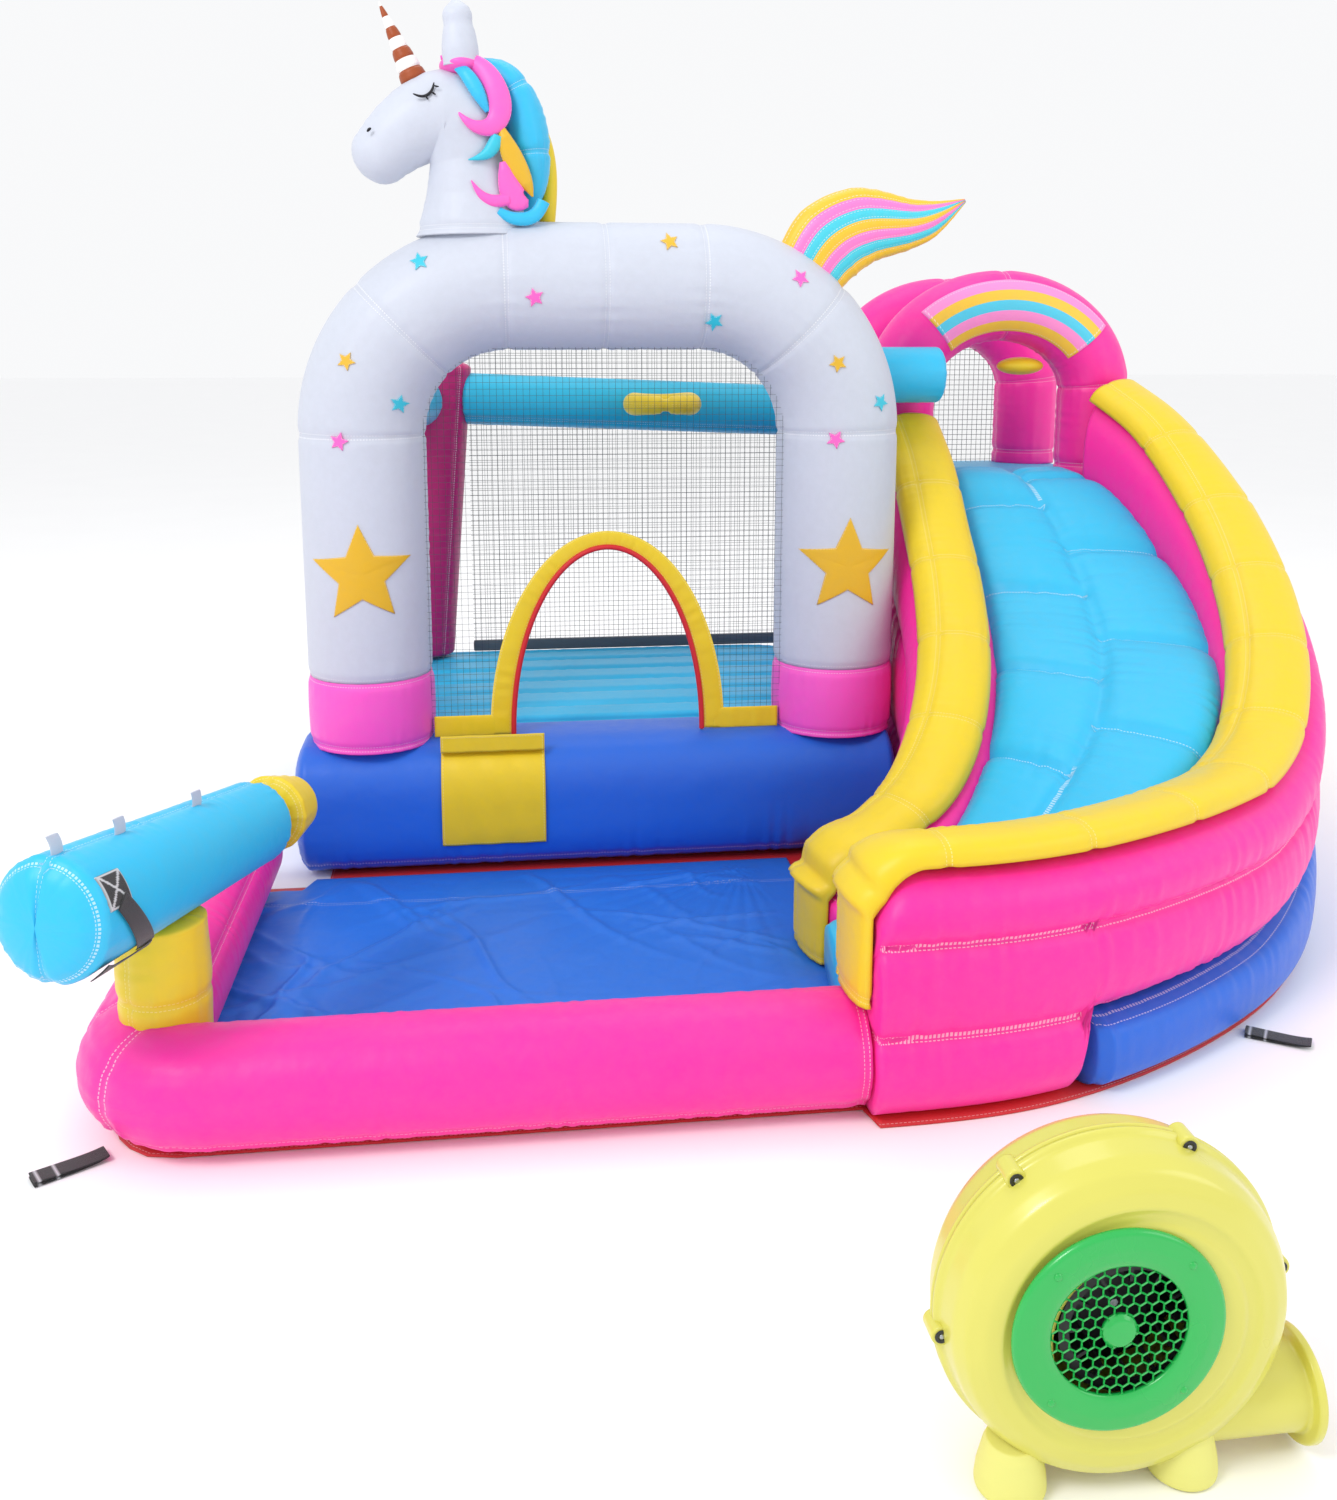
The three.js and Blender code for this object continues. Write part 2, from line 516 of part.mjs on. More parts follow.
// The barrel lies along its own X, muzzle first, and is turned into place with its breech and strap.
const CANNON_TURN = 1.19; // from +X towards -Y, to the muzzle
const CANNON_TILT = 0.07; // muzzle up
const CANNON_Z = 562;
const MUZZLE = 320; // from the post's axis to the muzzle's middle
const BREECH_AT = 372;
const MUZZLE_RADIUS = 124;
const BREECH_RADIUS = 97;

const cannon = new THREE.Group();
cannon.position.set(CANNON_X, CANNON_Y, CANNON_Z);
house.add(cannon);
cannon.rotateZ(Math.PI + CANNON_TURN);
cannon.rotateY(-CANNON_TILT);
const barrelPath = [-BREECH_AT, -200, 0, 160, MUZZLE].map((x) => at(x, 0, 0));
const barrel = sweep(barrelPath, Z, (i) => {
  const radius = along([[-BREECH_AT, BREECH_RADIUS], [MUZZLE, MUZZLE_RADIUS]], barrelPath[i].x);
  return oval(radius, radius, 2, 20);
}, 40);
add('cannon_barrel', barrel, CYAN, cannon);
const breechPath = [at(-BREECH_AT - 74, 0, 0), at(-BREECH_AT - 160, 0, 0)];
add('cannon_breech', sweep(breechPath, Z, (i) => oval([90, 74][i], [90, 74][i], 2, 20), 30), YELLOW, cannon);

// ---- anchor loops ----
[['front_left', -1215, -1632, 0.55], ['front_right', 1480, -1445, -0.6], ['rear_left', -1000, 1390, -0.7],
  ['rear_right', 1010, 1440, 0.9]].forEach(([corner, x, y, turn]) => {
  add(`anchor_${corner}`, box(-75, 75, -24, 24, 0, 5).rotateZ(turn).translate(x, y, 0), WEBBING);
});

// ---- fabric sleeve that the blower's air goes into, low on the rear wall ----
const sleevePath = [at(180, blockBack + 22, 120), at(187, blockBack + 70, 112), at(215, blockBack + 130, 84)];
add('air_inlet_sleeve', sweep(sleevePath, Z, (i) => oval([78, 74, 66][i], [78, 66, 54][i], 2, 18)), BLUE);

// ---- ground sheet and pool floor ----
const plan = (points) => new THREE.Shape(points.map(([x, y]) => new THREE.Vector2(x, y)));
const SHEET_RIM = 8; // beyond the slide's outer wall
const outerEdge = outerPath.map((p) => {
  const inward = innerPath[outerPath.indexOf(p)].clone().sub(p).normalize();
  return p.clone().addScaledVector(inward, -SLIDE_HALF - SHEET_RIM);
});
const SHEET_INSET = 85; // from the outside of the pool's wall
const sheetFront = POOL_FRONT_Y - POOL_TUBE + SHEET_INSET;
const sheetLeft = POOL_LEFT_X - POOL_TUBE + SHEET_INSET;
const sheetPlan = plan([
  [sheetLeft + 150, sheetFront], [POOL_RIGHT_X, sheetFront],
  ...outerEdge.slice(0, -1).reverse().map((p) => [p.x, p.y]),
  [towerRight - 20, towerY0], [towerRight - 20, towerY1 - 20], [BASE_RIGHT - 20, towerY1 - 20],
  [BASE_RIGHT - 20, FLOOR_BACK + 40], [BASE_LEFT + 50, FLOOR_BACK + 40], [BASE_LEFT + 50, wallStart],
  [sheetLeft, wallStart], [sheetLeft, sheetFront + 150], [sheetLeft + 12, sheetFront + 88],
  [sheetLeft + 45, sheetFront + 45], [sheetLeft + 88, sheetFront + 12],
]);
add('ground_sheet', new THREE.ExtrudeGeometry(sheetPlan, { depth: SHEET, bevelEnabled: false }), RED);
const poolPlan = box(POOL_LEFT_X + 34, POOL_RIGHT_X - 14, POOL_FRONT_Y + 34, wallStart - 5, GROUND,
  GROUND + 4);
add('pool_floor', cut(poolPlan, tube(leftWallPath, Z, POOL_TUBE + 1)), BLUE);

// ---- blower: casing halves, grille, impeller, motor, outlet, feet, switch and gland ----
// Solid of revolution about Y from [radius, y] pairs.
function aboutY(profile, sides = 28) {
  const turned = new THREE.LatheGeometry(profile.map(([r, y]) => new THREE.Vector2(r, y)), sides);
  turned.deleteAttribute('normal');
  turned.deleteAttribute('uv');
  const merged = mergeVertices(turned, 0.001);
  const position = merged.attributes.position;
  const points = [...Array(position.count).keys()].map(
    (i) => new THREE.Vector3().fromBufferAttribute(position, i));
  return facingOut(points, [...merged.index.array]);
}
const placeBlower = (geometry) => geometry.translate(BLOWER_X, BLOWER_Y, BLOWER_Z);
const outletRod = (radius, x0, x1) => new THREE.CylinderGeometry(radius, radius, x1 - x0, 28)
  .rotateZ(Math.PI / 2).translate((x0 + x1) / 2, 0, 0);
const outletX0 = 130;
const outletX1 = OUTLET_END - BLOWER_X;
const outletDrop = OUTLET_Z - BLOWER_Z;
const outletHole = outletRod(OUTLET_RADIUS + 6.3, 100, outletX1 + 20).translate(0, 0, outletDrop);

// Shell of one half: rim at the joint plane, rounded shoulder, flat face with a round hole.
function casingHalf(sign, hole) {
  const R = CASING_RADIUS;
  const D = CASING_DEPTH;
  const w = CASING_WALL;
  const outer = [[R + 8, 0.4], [R + 8, 9], [R, 14], [R - 6, D * 0.55], [R - 40, D * 0.9], [R - 90, D],
    [hole, D]];
  const inner = [[hole, D - w], [R - 91, D - w], [R - 42, D * 0.9 - w], [R - 6 - w, D * 0.55 - 2],
    [R - w, 12], [R - w, 0.4]];
  const profile = [...outer, ...inner, outer[0]];
  const half = aboutY(profile);
  return sign < 0 ? half.rotateX(Math.PI) : half;
}
add('blower_casing_front', placeBlower(cut(casingHalf(-1, INTAKE_RADIUS), outletHole)), BLOWER_SHELL);
const SWITCH_X = -112; // the rocker sits in a slot of the rear face, level with the shaft
const switchSlot = box(SWITCH_X - 13, SWITCH_X + 13, CASING_DEPTH - 20, CASING_DEPTH + 20, -18.5, 18.5);
add('blower_casing_back', placeBlower(cut(casingHalf(1, 62), outletHole, switchSlot)), BLOWER_SHELL);

const GRILLE_RADIUS = 157;
const GRILLE_HOLE = 12;
const GRILLE_PITCH = 34;
const GRILLE_SHIFT = [-27, 16]; // the grille sits a little off the shaft's line
const ringOf = (x, z, radius, sides) => [...Array(sides).keys()].map((i) => {
  const turn = (i / sides) * 2 * Math.PI;
  return new THREE.Vector2(x + radius * Math.cos(turn), z + radius * Math.sin(turn));
});
const grilleShape = new THREE.Shape(ringOf(0, 0, GRILLE_RADIUS, 40));
for (let row = -3; row <= 3; row += 1) {
  for (let column = -3; column <= 3; column += 1) {
    const x = (column + (row % 2 ? 0.5 : 0)) * GRILLE_PITCH;
    const z = row * GRILLE_PITCH * 0.866;
    if (Math.hypot(x, z) < 92) grilleShape.holes.push(new THREE.Path(ringOf(x, z, GRILLE_HOLE, 6)));
  }
}
const grille = new THREE.ExtrudeGeometry(grilleShape, { depth: 6, bevelEnabled: false })
  .rotateX(Math.PI / 2).translate(GRILLE_SHIFT[0], -CASING_DEPTH - GAP, GRILLE_SHIFT[1]);
add('blower_grille', placeBlower(grille), BLOWER_GREEN);

const IMPELLER_RADIUS = 104;
const IMPELLER_DEPTH = 74;
const BLADES = 12;
const hub = [[0, 30], [34, 30], [34, 0], [IMPELLER_RADIUS, 0], [IMPELLER_RADIUS, -5], [0, -5]];
const impellerParts = [aboutY(hub, 28)];
for (let blade = 0; blade < BLADES; blade += 1) {
  const vane = box(-2.5, 2.5, -IMPELLER_DEPTH, -1, 70, IMPELLER_RADIUS - 2);
  impellerParts.push(vane.rotateY((blade / BLADES) * 2 * Math.PI));
}
const ringFront = -IMPELLER_DEPTH;
const frontRing = [[88, ringFront], [IMPELLER_RADIUS, ringFront], [IMPELLER_RADIUS, ringFront + 5],
  [88, ringFront + 5], [88, ringFront]];
impellerParts.push(aboutY(frontRing, 28));
const shaftHole = new THREE.CylinderGeometry(6.5, 6.5, 120, 16);
add('blower_impeller', placeBlower(cut(join(...impellerParts), shaftHole)), DARK_PLASTIC);
const motorStart = 36;
const shaft = new THREE.CylinderGeometry(6, 6, 62, 16).translate(0, motorStart - 31 - GAP, 0);
add('blower_shaft', placeBlower(shaft), STEEL);
const motor = new THREE.CylinderGeometry(58, 58, 120, 24).translate(0, motorStart + 60, 0);
add('blower_motor', placeBlower(motor), DARK_PLASTIC);

const flange = outletRod(OUTLET_RADIUS + 26, outletX1 - 14, outletX1);
const pipe = join(outletRod(OUTLET_RADIUS + 6, outletX0, outletX1), flange);
const outlet = cut(pipe, outletRod(OUTLET_RADIUS, outletX0 - 10, outletX1 + 10)).translate(0, 0, outletDrop);
add('blower_outlet', placeBlower(outlet), BLOWER_SHELL);
const footTop = 52;
const outletBody = outletRod(OUTLET_RADIUS + 7, outletX0, outletX1).translate(BLOWER_X, BLOWER_Y, OUTLET_Z);
[['left', -150], ['right', 112]].forEach(([side, shift]) => {
  const casingBody = new THREE.CylinderGeometry(CASING_RADIUS + 9, CASING_RADIUS + 9, 3 * CASING_DEPTH, 40)
    .translate(BLOWER_X, BLOWER_Y, BLOWER_Z);
  const foot = upright(52, 0, footTop + 30, BLOWER_X + shift, BLOWER_Y - 40, 20, 40);
  add(`blower_foot_${side}`, cut(foot, casingBody, outletBody), RUBBER);
});

const ROCKER_TURN = 0.16;
const rocker = box(-11, 11, -7, 7, -16, 16).rotateX(ROCKER_TURN).translate(SWITCH_X, CASING_DEPTH - 1, 0);
add('blower_switch', placeBlower(rocker), RED);
const gland = upright(9, 0, 32, 0, 0, 16).rotateX(-Math.PI / 2).translate(-96, CASING_DEPTH + GAP, -82);
add('blower_gland', placeBlower(gland), DARK_PLASTIC);

house.updateMatrixWorld(true);
const extent = new THREE.Box3().setFromObject(house);
house.position.set(-(extent.min.x + extent.max.x) / 2, -(extent.min.y + extent.max.y) / 2, -extent.min.z);

export default house;
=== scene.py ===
import bmesh
import bpy
import numpy as np
from mathutils import Matrix, Vector


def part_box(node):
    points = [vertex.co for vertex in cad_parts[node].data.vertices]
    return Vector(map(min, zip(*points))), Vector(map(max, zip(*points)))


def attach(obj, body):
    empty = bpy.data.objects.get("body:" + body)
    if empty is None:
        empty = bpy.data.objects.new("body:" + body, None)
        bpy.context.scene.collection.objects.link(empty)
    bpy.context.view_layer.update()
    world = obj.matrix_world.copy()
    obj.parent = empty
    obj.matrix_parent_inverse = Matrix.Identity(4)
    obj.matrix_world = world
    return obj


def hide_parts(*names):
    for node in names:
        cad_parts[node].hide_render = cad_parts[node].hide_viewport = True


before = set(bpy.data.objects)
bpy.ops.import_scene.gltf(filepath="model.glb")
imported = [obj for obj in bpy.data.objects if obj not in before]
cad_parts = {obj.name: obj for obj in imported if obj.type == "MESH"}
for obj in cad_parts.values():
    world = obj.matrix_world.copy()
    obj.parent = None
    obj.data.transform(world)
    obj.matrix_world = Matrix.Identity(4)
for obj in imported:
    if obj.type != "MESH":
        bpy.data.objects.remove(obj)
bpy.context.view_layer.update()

TURN = 2 * np.pi
X, Y, Z = np.eye(3)
arch_low, arch_high = (np.array(corner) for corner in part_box("white_arch"))
ORIGIN = (arch_low + arch_high) / 2 * [1, 1, 0]


# ---- camera, made first ----
def make_camera():
    """A 33 mm lens at the eye height of a person who stands in front of the pool, a little to its left."""
    camera = bpy.data.cameras.new("viewpoint")
    camera.lens = 33.12
    camera.sensor_width = 36.0
    camera.sensor_height = 36.0
    camera.shift_y = -0.1107
    holder = bpy.data.objects.new("viewpoint", camera)
    holder.location = ORIGIN + [-0.336, -4.286, 1.639]
    holder.rotation_euler = (np.radians(80), 0, np.radians(-7.13))
    bpy.context.scene.collection.objects.link(holder)
    bpy.context.scene.camera = holder


make_camera()


# ---- meshes ----
def unit(vectors):
    return vectors / np.maximum(np.linalg.norm(vectors, axis=-1, keepdims=True), 1e-9)


def power_of(values, exponent):
    """sign(v) * |v| ** exponent, which squares a circle off."""
    return np.sign(values) * np.abs(values) ** exponent


def make_mesh(name, points, quads, triangles, corner_uv=None, values=None, smooth=True):
    """One mesh object from whole arrays. values holds one number per point for each named attribute."""
    quads = np.asarray(quads, np.int32).reshape(-1, 4)
    triangles = np.asarray(triangles, np.int32).reshape(-1, 3)
    mesh = bpy.data.meshes.new(name)
    mesh.vertices.add(len(points))
    mesh.vertices.foreach_set("co", (np.asarray(points) + ORIGIN).astype(np.float32).ravel())
    loops = np.concatenate([quads.ravel(), triangles.ravel()])
    mesh.loops.add(len(loops))
    mesh.loops.foreach_set("vertex_index", loops)
    starts = np.concatenate([np.arange(len(quads)) * 4, len(quads) * 4 + np.arange(len(triangles)) * 3])
    mesh.polygons.add(len(starts))
    mesh.polygons.foreach_set("loop_start", starts.astype(np.int32))
    mesh.update(calc_edges=True)
    if corner_uv is not None:
        mesh.uv_layers.new(name="cloth").data.foreach_set("uv", corner_uv.astype(np.float32).ravel())
    for key, numbers in (values or {}).items():
        attribute = mesh.attributes.new(key, "FLOAT", "POINT")
        attribute.data.foreach_set("value", np.asarray(numbers, np.float32).ravel())
    mesh.polygons.foreach_set("use_smooth", np.full(len(starts), smooth))
    piece = bpy.data.objects.new(name, mesh)
    bpy.context.scene.collection.objects.link(piece)
    return piece


def lengths(grid, closed=True):
    """Distance along the grid's first direction, and around its second one at the widest row."""
    run = np.concatenate([[0], np.cumsum(np.linalg.norm(np.diff(grid, axis=0), axis=2).mean(1))])
    loop = np.concatenate([grid, grid[:, :1]], axis=1) if closed else grid
    steps = np.linalg.norm(np.diff(loop, axis=1), axis=2)
    girth = np.concatenate([[0], np.cumsum(steps[steps.sum(1).argmax()])])
    return run, girth


def grid_normals(grid, closed=True):
    """Cross product of the two grid directions, turned to point away from each row's middle."""
    down = np.gradient(grid, axis=0)
    if closed:
        over = np.roll(grid, -1, axis=1) - np.roll(grid, 1, axis=1)
    else:
        over = np.gradient(grid, axis=1)
    normals = unit(np.cross(down, over))
    if closed:
        outward = grid - grid.mean(axis=1, keepdims=True)
        normals *= np.sign(np.sum(normals * outward)) or 1
    return normals


def skin(name, grid, closed=True, poles=(True, True), values=None, facing=None, smooth=True):
    """Surface over a grid of points. Rows of a closed one join up, and a pole closes each end with a fan."""
    rows, columns = grid.shape[:2]
    run, girth = lengths(grid, closed)
    i, j = np.meshgrid(np.arange(rows - 1), np.arange(columns if closed else columns - 1), indexing="ij")
    i, j = i.ravel(), j.ravel()
    after = (j + 1) % columns
    quads = np.stack([i * columns + j, i * columns + after, (i + 1) * columns + after,
                      (i + 1) * columns + j], 1)
    quad_uv = np.stack([np.stack([run[i], girth[j]], 1), np.stack([run[i], girth[j + 1]], 1),
                        np.stack([run[i + 1], girth[j + 1]], 1), np.stack([run[i + 1], girth[j]], 1)], 1)
    points = grid.reshape(-1, 3)
    fans, fan_uv, extra = [], [], []
    around = np.arange(columns)
    for end, wanted in enumerate(poles if closed else (False, False)):
        if not wanted:
            continue
        row = (rows - 1) * end
        middle = len(points) + len(extra)
        extra.append(grid[row].mean(axis=0))
        pair = [row * columns + around, row * columns + (around + 1) % columns]
        order = pair if end else pair[::-1]
        fans.append(np.stack([order[0], order[1], np.full(columns, middle)], 1))
        edge = np.full(columns, run[row])
        uv = [np.stack([edge, girth[:-1]], 1), np.stack([edge, girth[1:]], 1)]
        uv = uv if end else uv[::-1]
        fan_uv.append(np.stack([uv[0], uv[1], np.stack([edge, (girth[:-1] + girth[1:]) / 2], 1)], 1))
    if extra:
        points = np.concatenate([points, np.array(extra)])
    triangles = np.concatenate(fans) if fans else np.zeros((0, 3), int)
    turned = np.sum(points[quads[:, 0]] * np.cross(points[quads[:, 1]], points[quads[:, 2]]))
    turned += np.sum(points[quads[:, 0]] * np.cross(points[quads[:, 2]], points[quads[:, 3]]))
    if len(triangles):
        turned += np.sum(points[triangles[:, 0]] * np.cross(points[triangles[:, 1]], points[triangles[:, 2]]))
    if facing is not None:
        turned = np.sum(np.cross(points[quads[:, 2]] - points[quads[:, 0]],
                                 points[quads[:, 3]] - points[quads[:, 1]]) @ np.asarray(facing, float))
    uv_blocks = [quad_uv] + fan_uv
    if turned < 0:
        quads, triangles = quads[:, ::-1], triangles[:, ::-1]
        uv_blocks = [block[:, ::-1] for block in uv_blocks]
    corner_uv = np.concatenate([block.reshape(-1, 2) for block in uv_blocks])
    given = {"seam": np.full((rows, columns), 9.0), "seam_run": np.zeros((rows, columns))}
    given.update(values or {})
    flat = {}
    for key, numbers in given.items():
        numbers = np.broadcast_to(numbers, (rows, columns))
        ends = [numbers[(rows - 1) * end].mean() for end,
                wanted in enumerate(poles if closed else ()) if wanted]
        flat[key] = np.concatenate([numbers.ravel(), ends])
    return make_mesh(name, points, quads, triangles, corner_uv, flat, smooth)


def merged(name, pieces):
    """Several new objects made into one mesh."""
    bpy.ops.object.select_all(action="DESELECT")
    for piece in pieces:
        piece.select_set(True)
    bpy.context.view_layer.objects.active = pieces[0]
    bpy.ops.object.join()
    pieces[0].name = name
    pieces[0].data.name = name
    return pieces[0]


# ---- paths and sections ----
def spaced(path, step=None, count=None):
    """The same path with evenly spaced points."""
    path = np.asarray(path, float)
    reach = np.concatenate([[0], np.cumsum(np.linalg.norm(np.diff(path, axis=0), axis=1))])
    count = count or max(3, int(round(reach[-1] / step)) + 1)
    stops = np.linspace(0, reach[-1], count)
    return np.stack([np.interp(stops, reach, path[:, k]) for k in range(path.shape[1])], axis=1)


def smooth_path(points, count=400):
    """Natural cubic spline through points, spaced by the square root of their distances."""
    points = np.asarray(points, float)
    knots = np.concatenate([[0], np.cumsum(np.linalg.norm(np.diff(points, axis=0), axis=1) ** 0.5)])
    gaps = np.diff(knots)
    size = len(points)
    system = np.eye(size)
    right = np.zeros_like(points)
    for k in range(1, size - 1):
        system[k, k - 1:k + 2] = [gaps[k - 1], 2 * (gaps[k - 1] + gaps[k]), gaps[k]]
        right[k] = 6 * ((points[k + 1] - points[k]) / gaps[k] - (points[k] - points[k - 1]) / gaps[k - 1])
    bend = np.linalg.solve(system, right)
    t = np.linspace(0, knots[-1], count * 3)
    k = np.clip(np.searchsorted(knots, t, side="right") - 1, 0, size - 2)
    a = ((knots[k + 1] - t) / gaps[k])[:, None]
    b = ((t - knots[k]) / gaps[k])[:, None]
    curve = a * points[k] + b * points[k + 1]
    curve += ((a ** 3 - a) * bend[k] + (b ** 3 - b) * bend[k + 1]) * (gaps[k] ** 2 / 6)[:, None]
    return spaced(curve, count=count)


def arch_path(half, foot, spring, rise, corner, y, middle=0.0):
    """Up a leg, round a shoulder (x = corner * cos, z = rise * sin), over the top and down the other leg."""
    turn = np.linspace(0, np.pi / 2, 40)
    left = [[middle - half, y, foot]]
    shoulder = np.stack([middle - half + corner * (1 - np.cos(turn)), np.full(40, y),
                         spring + rise * np.sin(turn)], 1)
    left = np.concatenate([left, shoulder])
    right = (left * [-1, 1, 1] + [2 * middle, 0, 0])[::-1]
    return np.concatenate([left, right])


def oval(across, along, count, power=2.0):
    """Superellipse |x / across| ** power + |y / along| ** power = 1 as two arrays of evenly spaced
    offsets."""
    turn = np.linspace(0, TURN, 4001)
    outline = np.stack([power_of(np.cos(turn), 2 / power), power_of(np.sin(turn), 2 / power)], 1)
    outline = spaced(outline, count=count + 1)[:-1]
    return np.asarray(across) * outline[:, 0], np.asarray(along) * outline[:, 1]


def swept(path, axis, across, along, domes=(0.0, 0.0), dome_rows=7):
    """point = path + side * across + axis * along, where side is tangent x axis. A dome of height h closes an
    end with rings scaled by cos(a) and pushed out by h * sin(a)."""
    path = np.asarray(path, float)
    tangent = unit(np.gradient(path, axis=0))
    side = unit(np.cross(tangent, axis))
    across = np.broadcast_to(across, (len(path), np.shape(across)[-1]))
    along = np.broadcast_to(along, across.shape)
    rings = path[:, None] + side[:, None] * across[..., None] + axis * along[..., None]
    a = np.linspace(0, np.pi / 2, dome_rows + 1)[1:] * 0.985
    blocks = [rings]
    for end, height in enumerate(domes):
        if not height:
            continue
        ring, sign = (rings[-1], 1) if end else (rings[0], -1)
        push = tangent[-end] * sign * height if end else tangent[0] * sign * height
        middle = ring.mean(axis=0)
        dome = middle + (ring - middle) * np.cos(a)[:, None, None] + push * np.sin(a)[:, None, None]
        blocks = blocks + [dome] if end else [dome[::-1]] + blocks
    return np.concatenate(blocks)


def tube(path, axis, radius, domes=(0.0, 0.0), sides=64, power=2.0, flatten=1.0):
    """Round or squarish tube of one radius, or of one radius per path point."""
    radius = np.reshape(radius, (-1, 1)) if np.ndim(radius) else radius
    return swept(path, axis, *oval(radius, np.multiply(radius, flatten), sides, power), domes)


# ---- what air does to sewn cloth ----
def wavy(run, pitch, seed):
    """Uneven ripples: two sines whose phase and strength drift along the seam."""
    drift = 1.7 * np.sin(TURN * run / (pitch * 4.3) + seed)
    wave = 0.6 * np.sin(TURN * run / pitch + drift) + 0.4 * np.sin(TURN * run / (pitch * 0.61) + 2.3 * seed)
    return wave * (0.6 + 0.4 * np.sin(TURN * run / (pitch * 7.7) + 1.3 * seed))


def lengthwise(grid, share):
    """Seam along the whole of a tube, at this share of the way round: distances from it, and along it."""
    run, girth = lengths(grid)
    away = np.abs(girth[:-1] - share * girth[-1])
    away = np.minimum(away, girth[-1] - away)
    return np.broadcast_to(away, grid.shape[:2]), np.broadcast_to(run[:, None], grid.shape[:2])


def ringwise(grid, share):
    """Seam round a tube, at this share of its length: distances from it, and along it."""
    run, girth = lengths(grid)
    away = np.abs(run - share * run[-1])[:, None]
    return np.broadcast_to(away, grid.shape[:2]), np.broadcast_to(girth[:-1], grid.shape[:2])


def at_level(grid, level):
    """Seam where the surface crosses a height, which may change along the grid."""
    run, _ = lengths(grid)
    away = np.abs(grid[..., 2] - np.reshape(level, (-1, 1)))
    return away, np.broadcast_to(run[:, None], grid.shape[:2])


def puffed(grid, seams, pinch=0.007, width=0.012, ripple=0.0032, pitch=0.055, reach=0.06, closed=True):
    """Each seam pulls the surface in by pinch * exp(-(d / width) ** 2) and gathers it into ripples that
    fade as exp(-d / reach). Returns the new grid and the distances to the nearest seam, for its stitches."""
    relief = np.zeros(grid.shape[:2])
    nearest = np.full(grid.shape[:2], 9.0)
    along = np.zeros(grid.shape[:2])
    for seed, (away, run) in enumerate(seams):
        notch = np.exp(-(away / width) ** 2)
        relief += -pinch * notch + ripple * wavy(run, pitch,
                                                 seed + 1) * np.exp(-away / reach) * (1 - 0.6 * notch)
        along = np.where(away < nearest, run, along)
        nearest = np.minimum(away, nearest)
    return grid + grid_normals(grid, closed) * relief[..., None], {"seam": nearest, "seam_run": along}


def inflated(name, grid, seams=(), poles=(True, True), **relief):
    """Skin of a chamber with its seams pulled in."""
    grid, values = puffed(grid, seams, **relief)
    return skin(name, grid, poles=poles, values=values)


def creases(x, y, seed, count, low, high, height, width):
    """Sum of long soft folds: height * exp(-(d / width) ** 2) across each one, fading towards its ends."""
    random = np.random.default_rng(seed)
    lift = np.zeros(np.broadcast(x, y).shape)
    for _ in range(count):
        middle = random.uniform(low, high)
        heading = random.uniform(0, np.pi)
        reach = random.uniform(0.12, 0.45)
        wide = width * random.uniform(0.6, 1.6)
        tall = height * random.uniform(0.4, 1.0)
        forward = (x - middle[0]) * np.cos(heading) + (y - middle[1]) * np.sin(heading)
        beside = (y - middle[1]) * np.cos(heading) - (x - middle[0]) * np.sin(heading)
        beside = beside + 0.05 * np.sin(forward / reach * 2)
        lift += tall * np.exp(-(beside / wide) ** 2) * np.exp(-(forward / reach) ** 2)
    return lift


def cushion(name, low, high, corner=9.0, swell=0.03, edge=0.05, crown=0.02, quilt=None, around=200, over=30):
    """Closed block of cloth: a superellipse outline in plan, sides that swell by swell * sin(pi * h), rounded
    edges and a top that rises by crown * (1 - k ** 4) plus the quilting."""
    low, high = np.asarray(low, float), np.asarray(high, float)
    middle, half = (low + high) / 2, (high - low) / 2
    ox, oy = oval(1.0, 1.0, around, corner)
    tall = high[2] - low[2]
    turn = np.linspace(0, np.pi / 2, 8)
    flat = np.linspace(0, 1, over)[:-1]
    rise = np.linspace(0, 1, 16)
    inset_bottom, z_bottom = edge * (1 - np.sin(turn)), low[2] + edge * (1 - np.cos(turn))
    z_side = low[2] + edge + (tall - 2 * edge) * rise[1:-1]
    inset = np.concatenate([inset_bottom, -swell * np.sin(np.pi * rise[1:-1]), inset_bottom[::-1]])
    level = np.concatenate([z_bottom, z_side, high[2] - edge * (1 - np.cos(turn[::-1]))])
    reach = np.stack([(half[k] - inset) for k in (0, 1)], 1)
    shell = np.stack([middle[0] + reach[:, :1] * ox, middle[1] + reach[:, 1:] * oy,
                      np.broadcast_to(level[:, None], (len(level), around))], 2)
    k = flat[::-1, None]
    k = np.maximum(k, 0.004)
    lid = np.stack([middle[0] + (half[0] - edge) * k * ox, middle[1] + (half[1] - edge) * k * oy,
                    high[2] + crown * (1 - k ** 4) + 0 * ox], 2)
    base = np.stack([middle[0] + (half[0] - edge) * k[::-1] * ox, middle[1] + (half[1] - edge) * k[::-1] * oy,
                     low[2] + 0 * k[::-1] * ox], 2)
    grid = np.concatenate([base, shell, lid])
    values = None
    if quilt is not None:
        away, run = quilt(grid[..., 0], grid[..., 1])
        on_top = np.clip((grid[..., 2] - (high[2] - edge)) / edge, 0, 1)
        grid[...,
             2] -= on_top * (0.016 * np.exp(-(away / 0.02) ** 2) - 0.003 * wavy(run, 0.07, 3)
                             * np.exp(-away / 0.05))
        values = {"seam": np.where(on_top > 0.5, away, 9.0), "seam_run": run}
    return skin(name, grid, values=values)


# ---- materials ----
def linear(code):
    """Linear colour of a hexadecimal sRGB one."""
    parts = np.array([int(code[k:k + 2], 16) for k in (0, 2, 4)]) / 255
    parts = np.where(parts <= 0.04045, parts / 12.92, ((parts + 0.055) / 1.055) ** 2.4)
    return (*parts, 1.0)


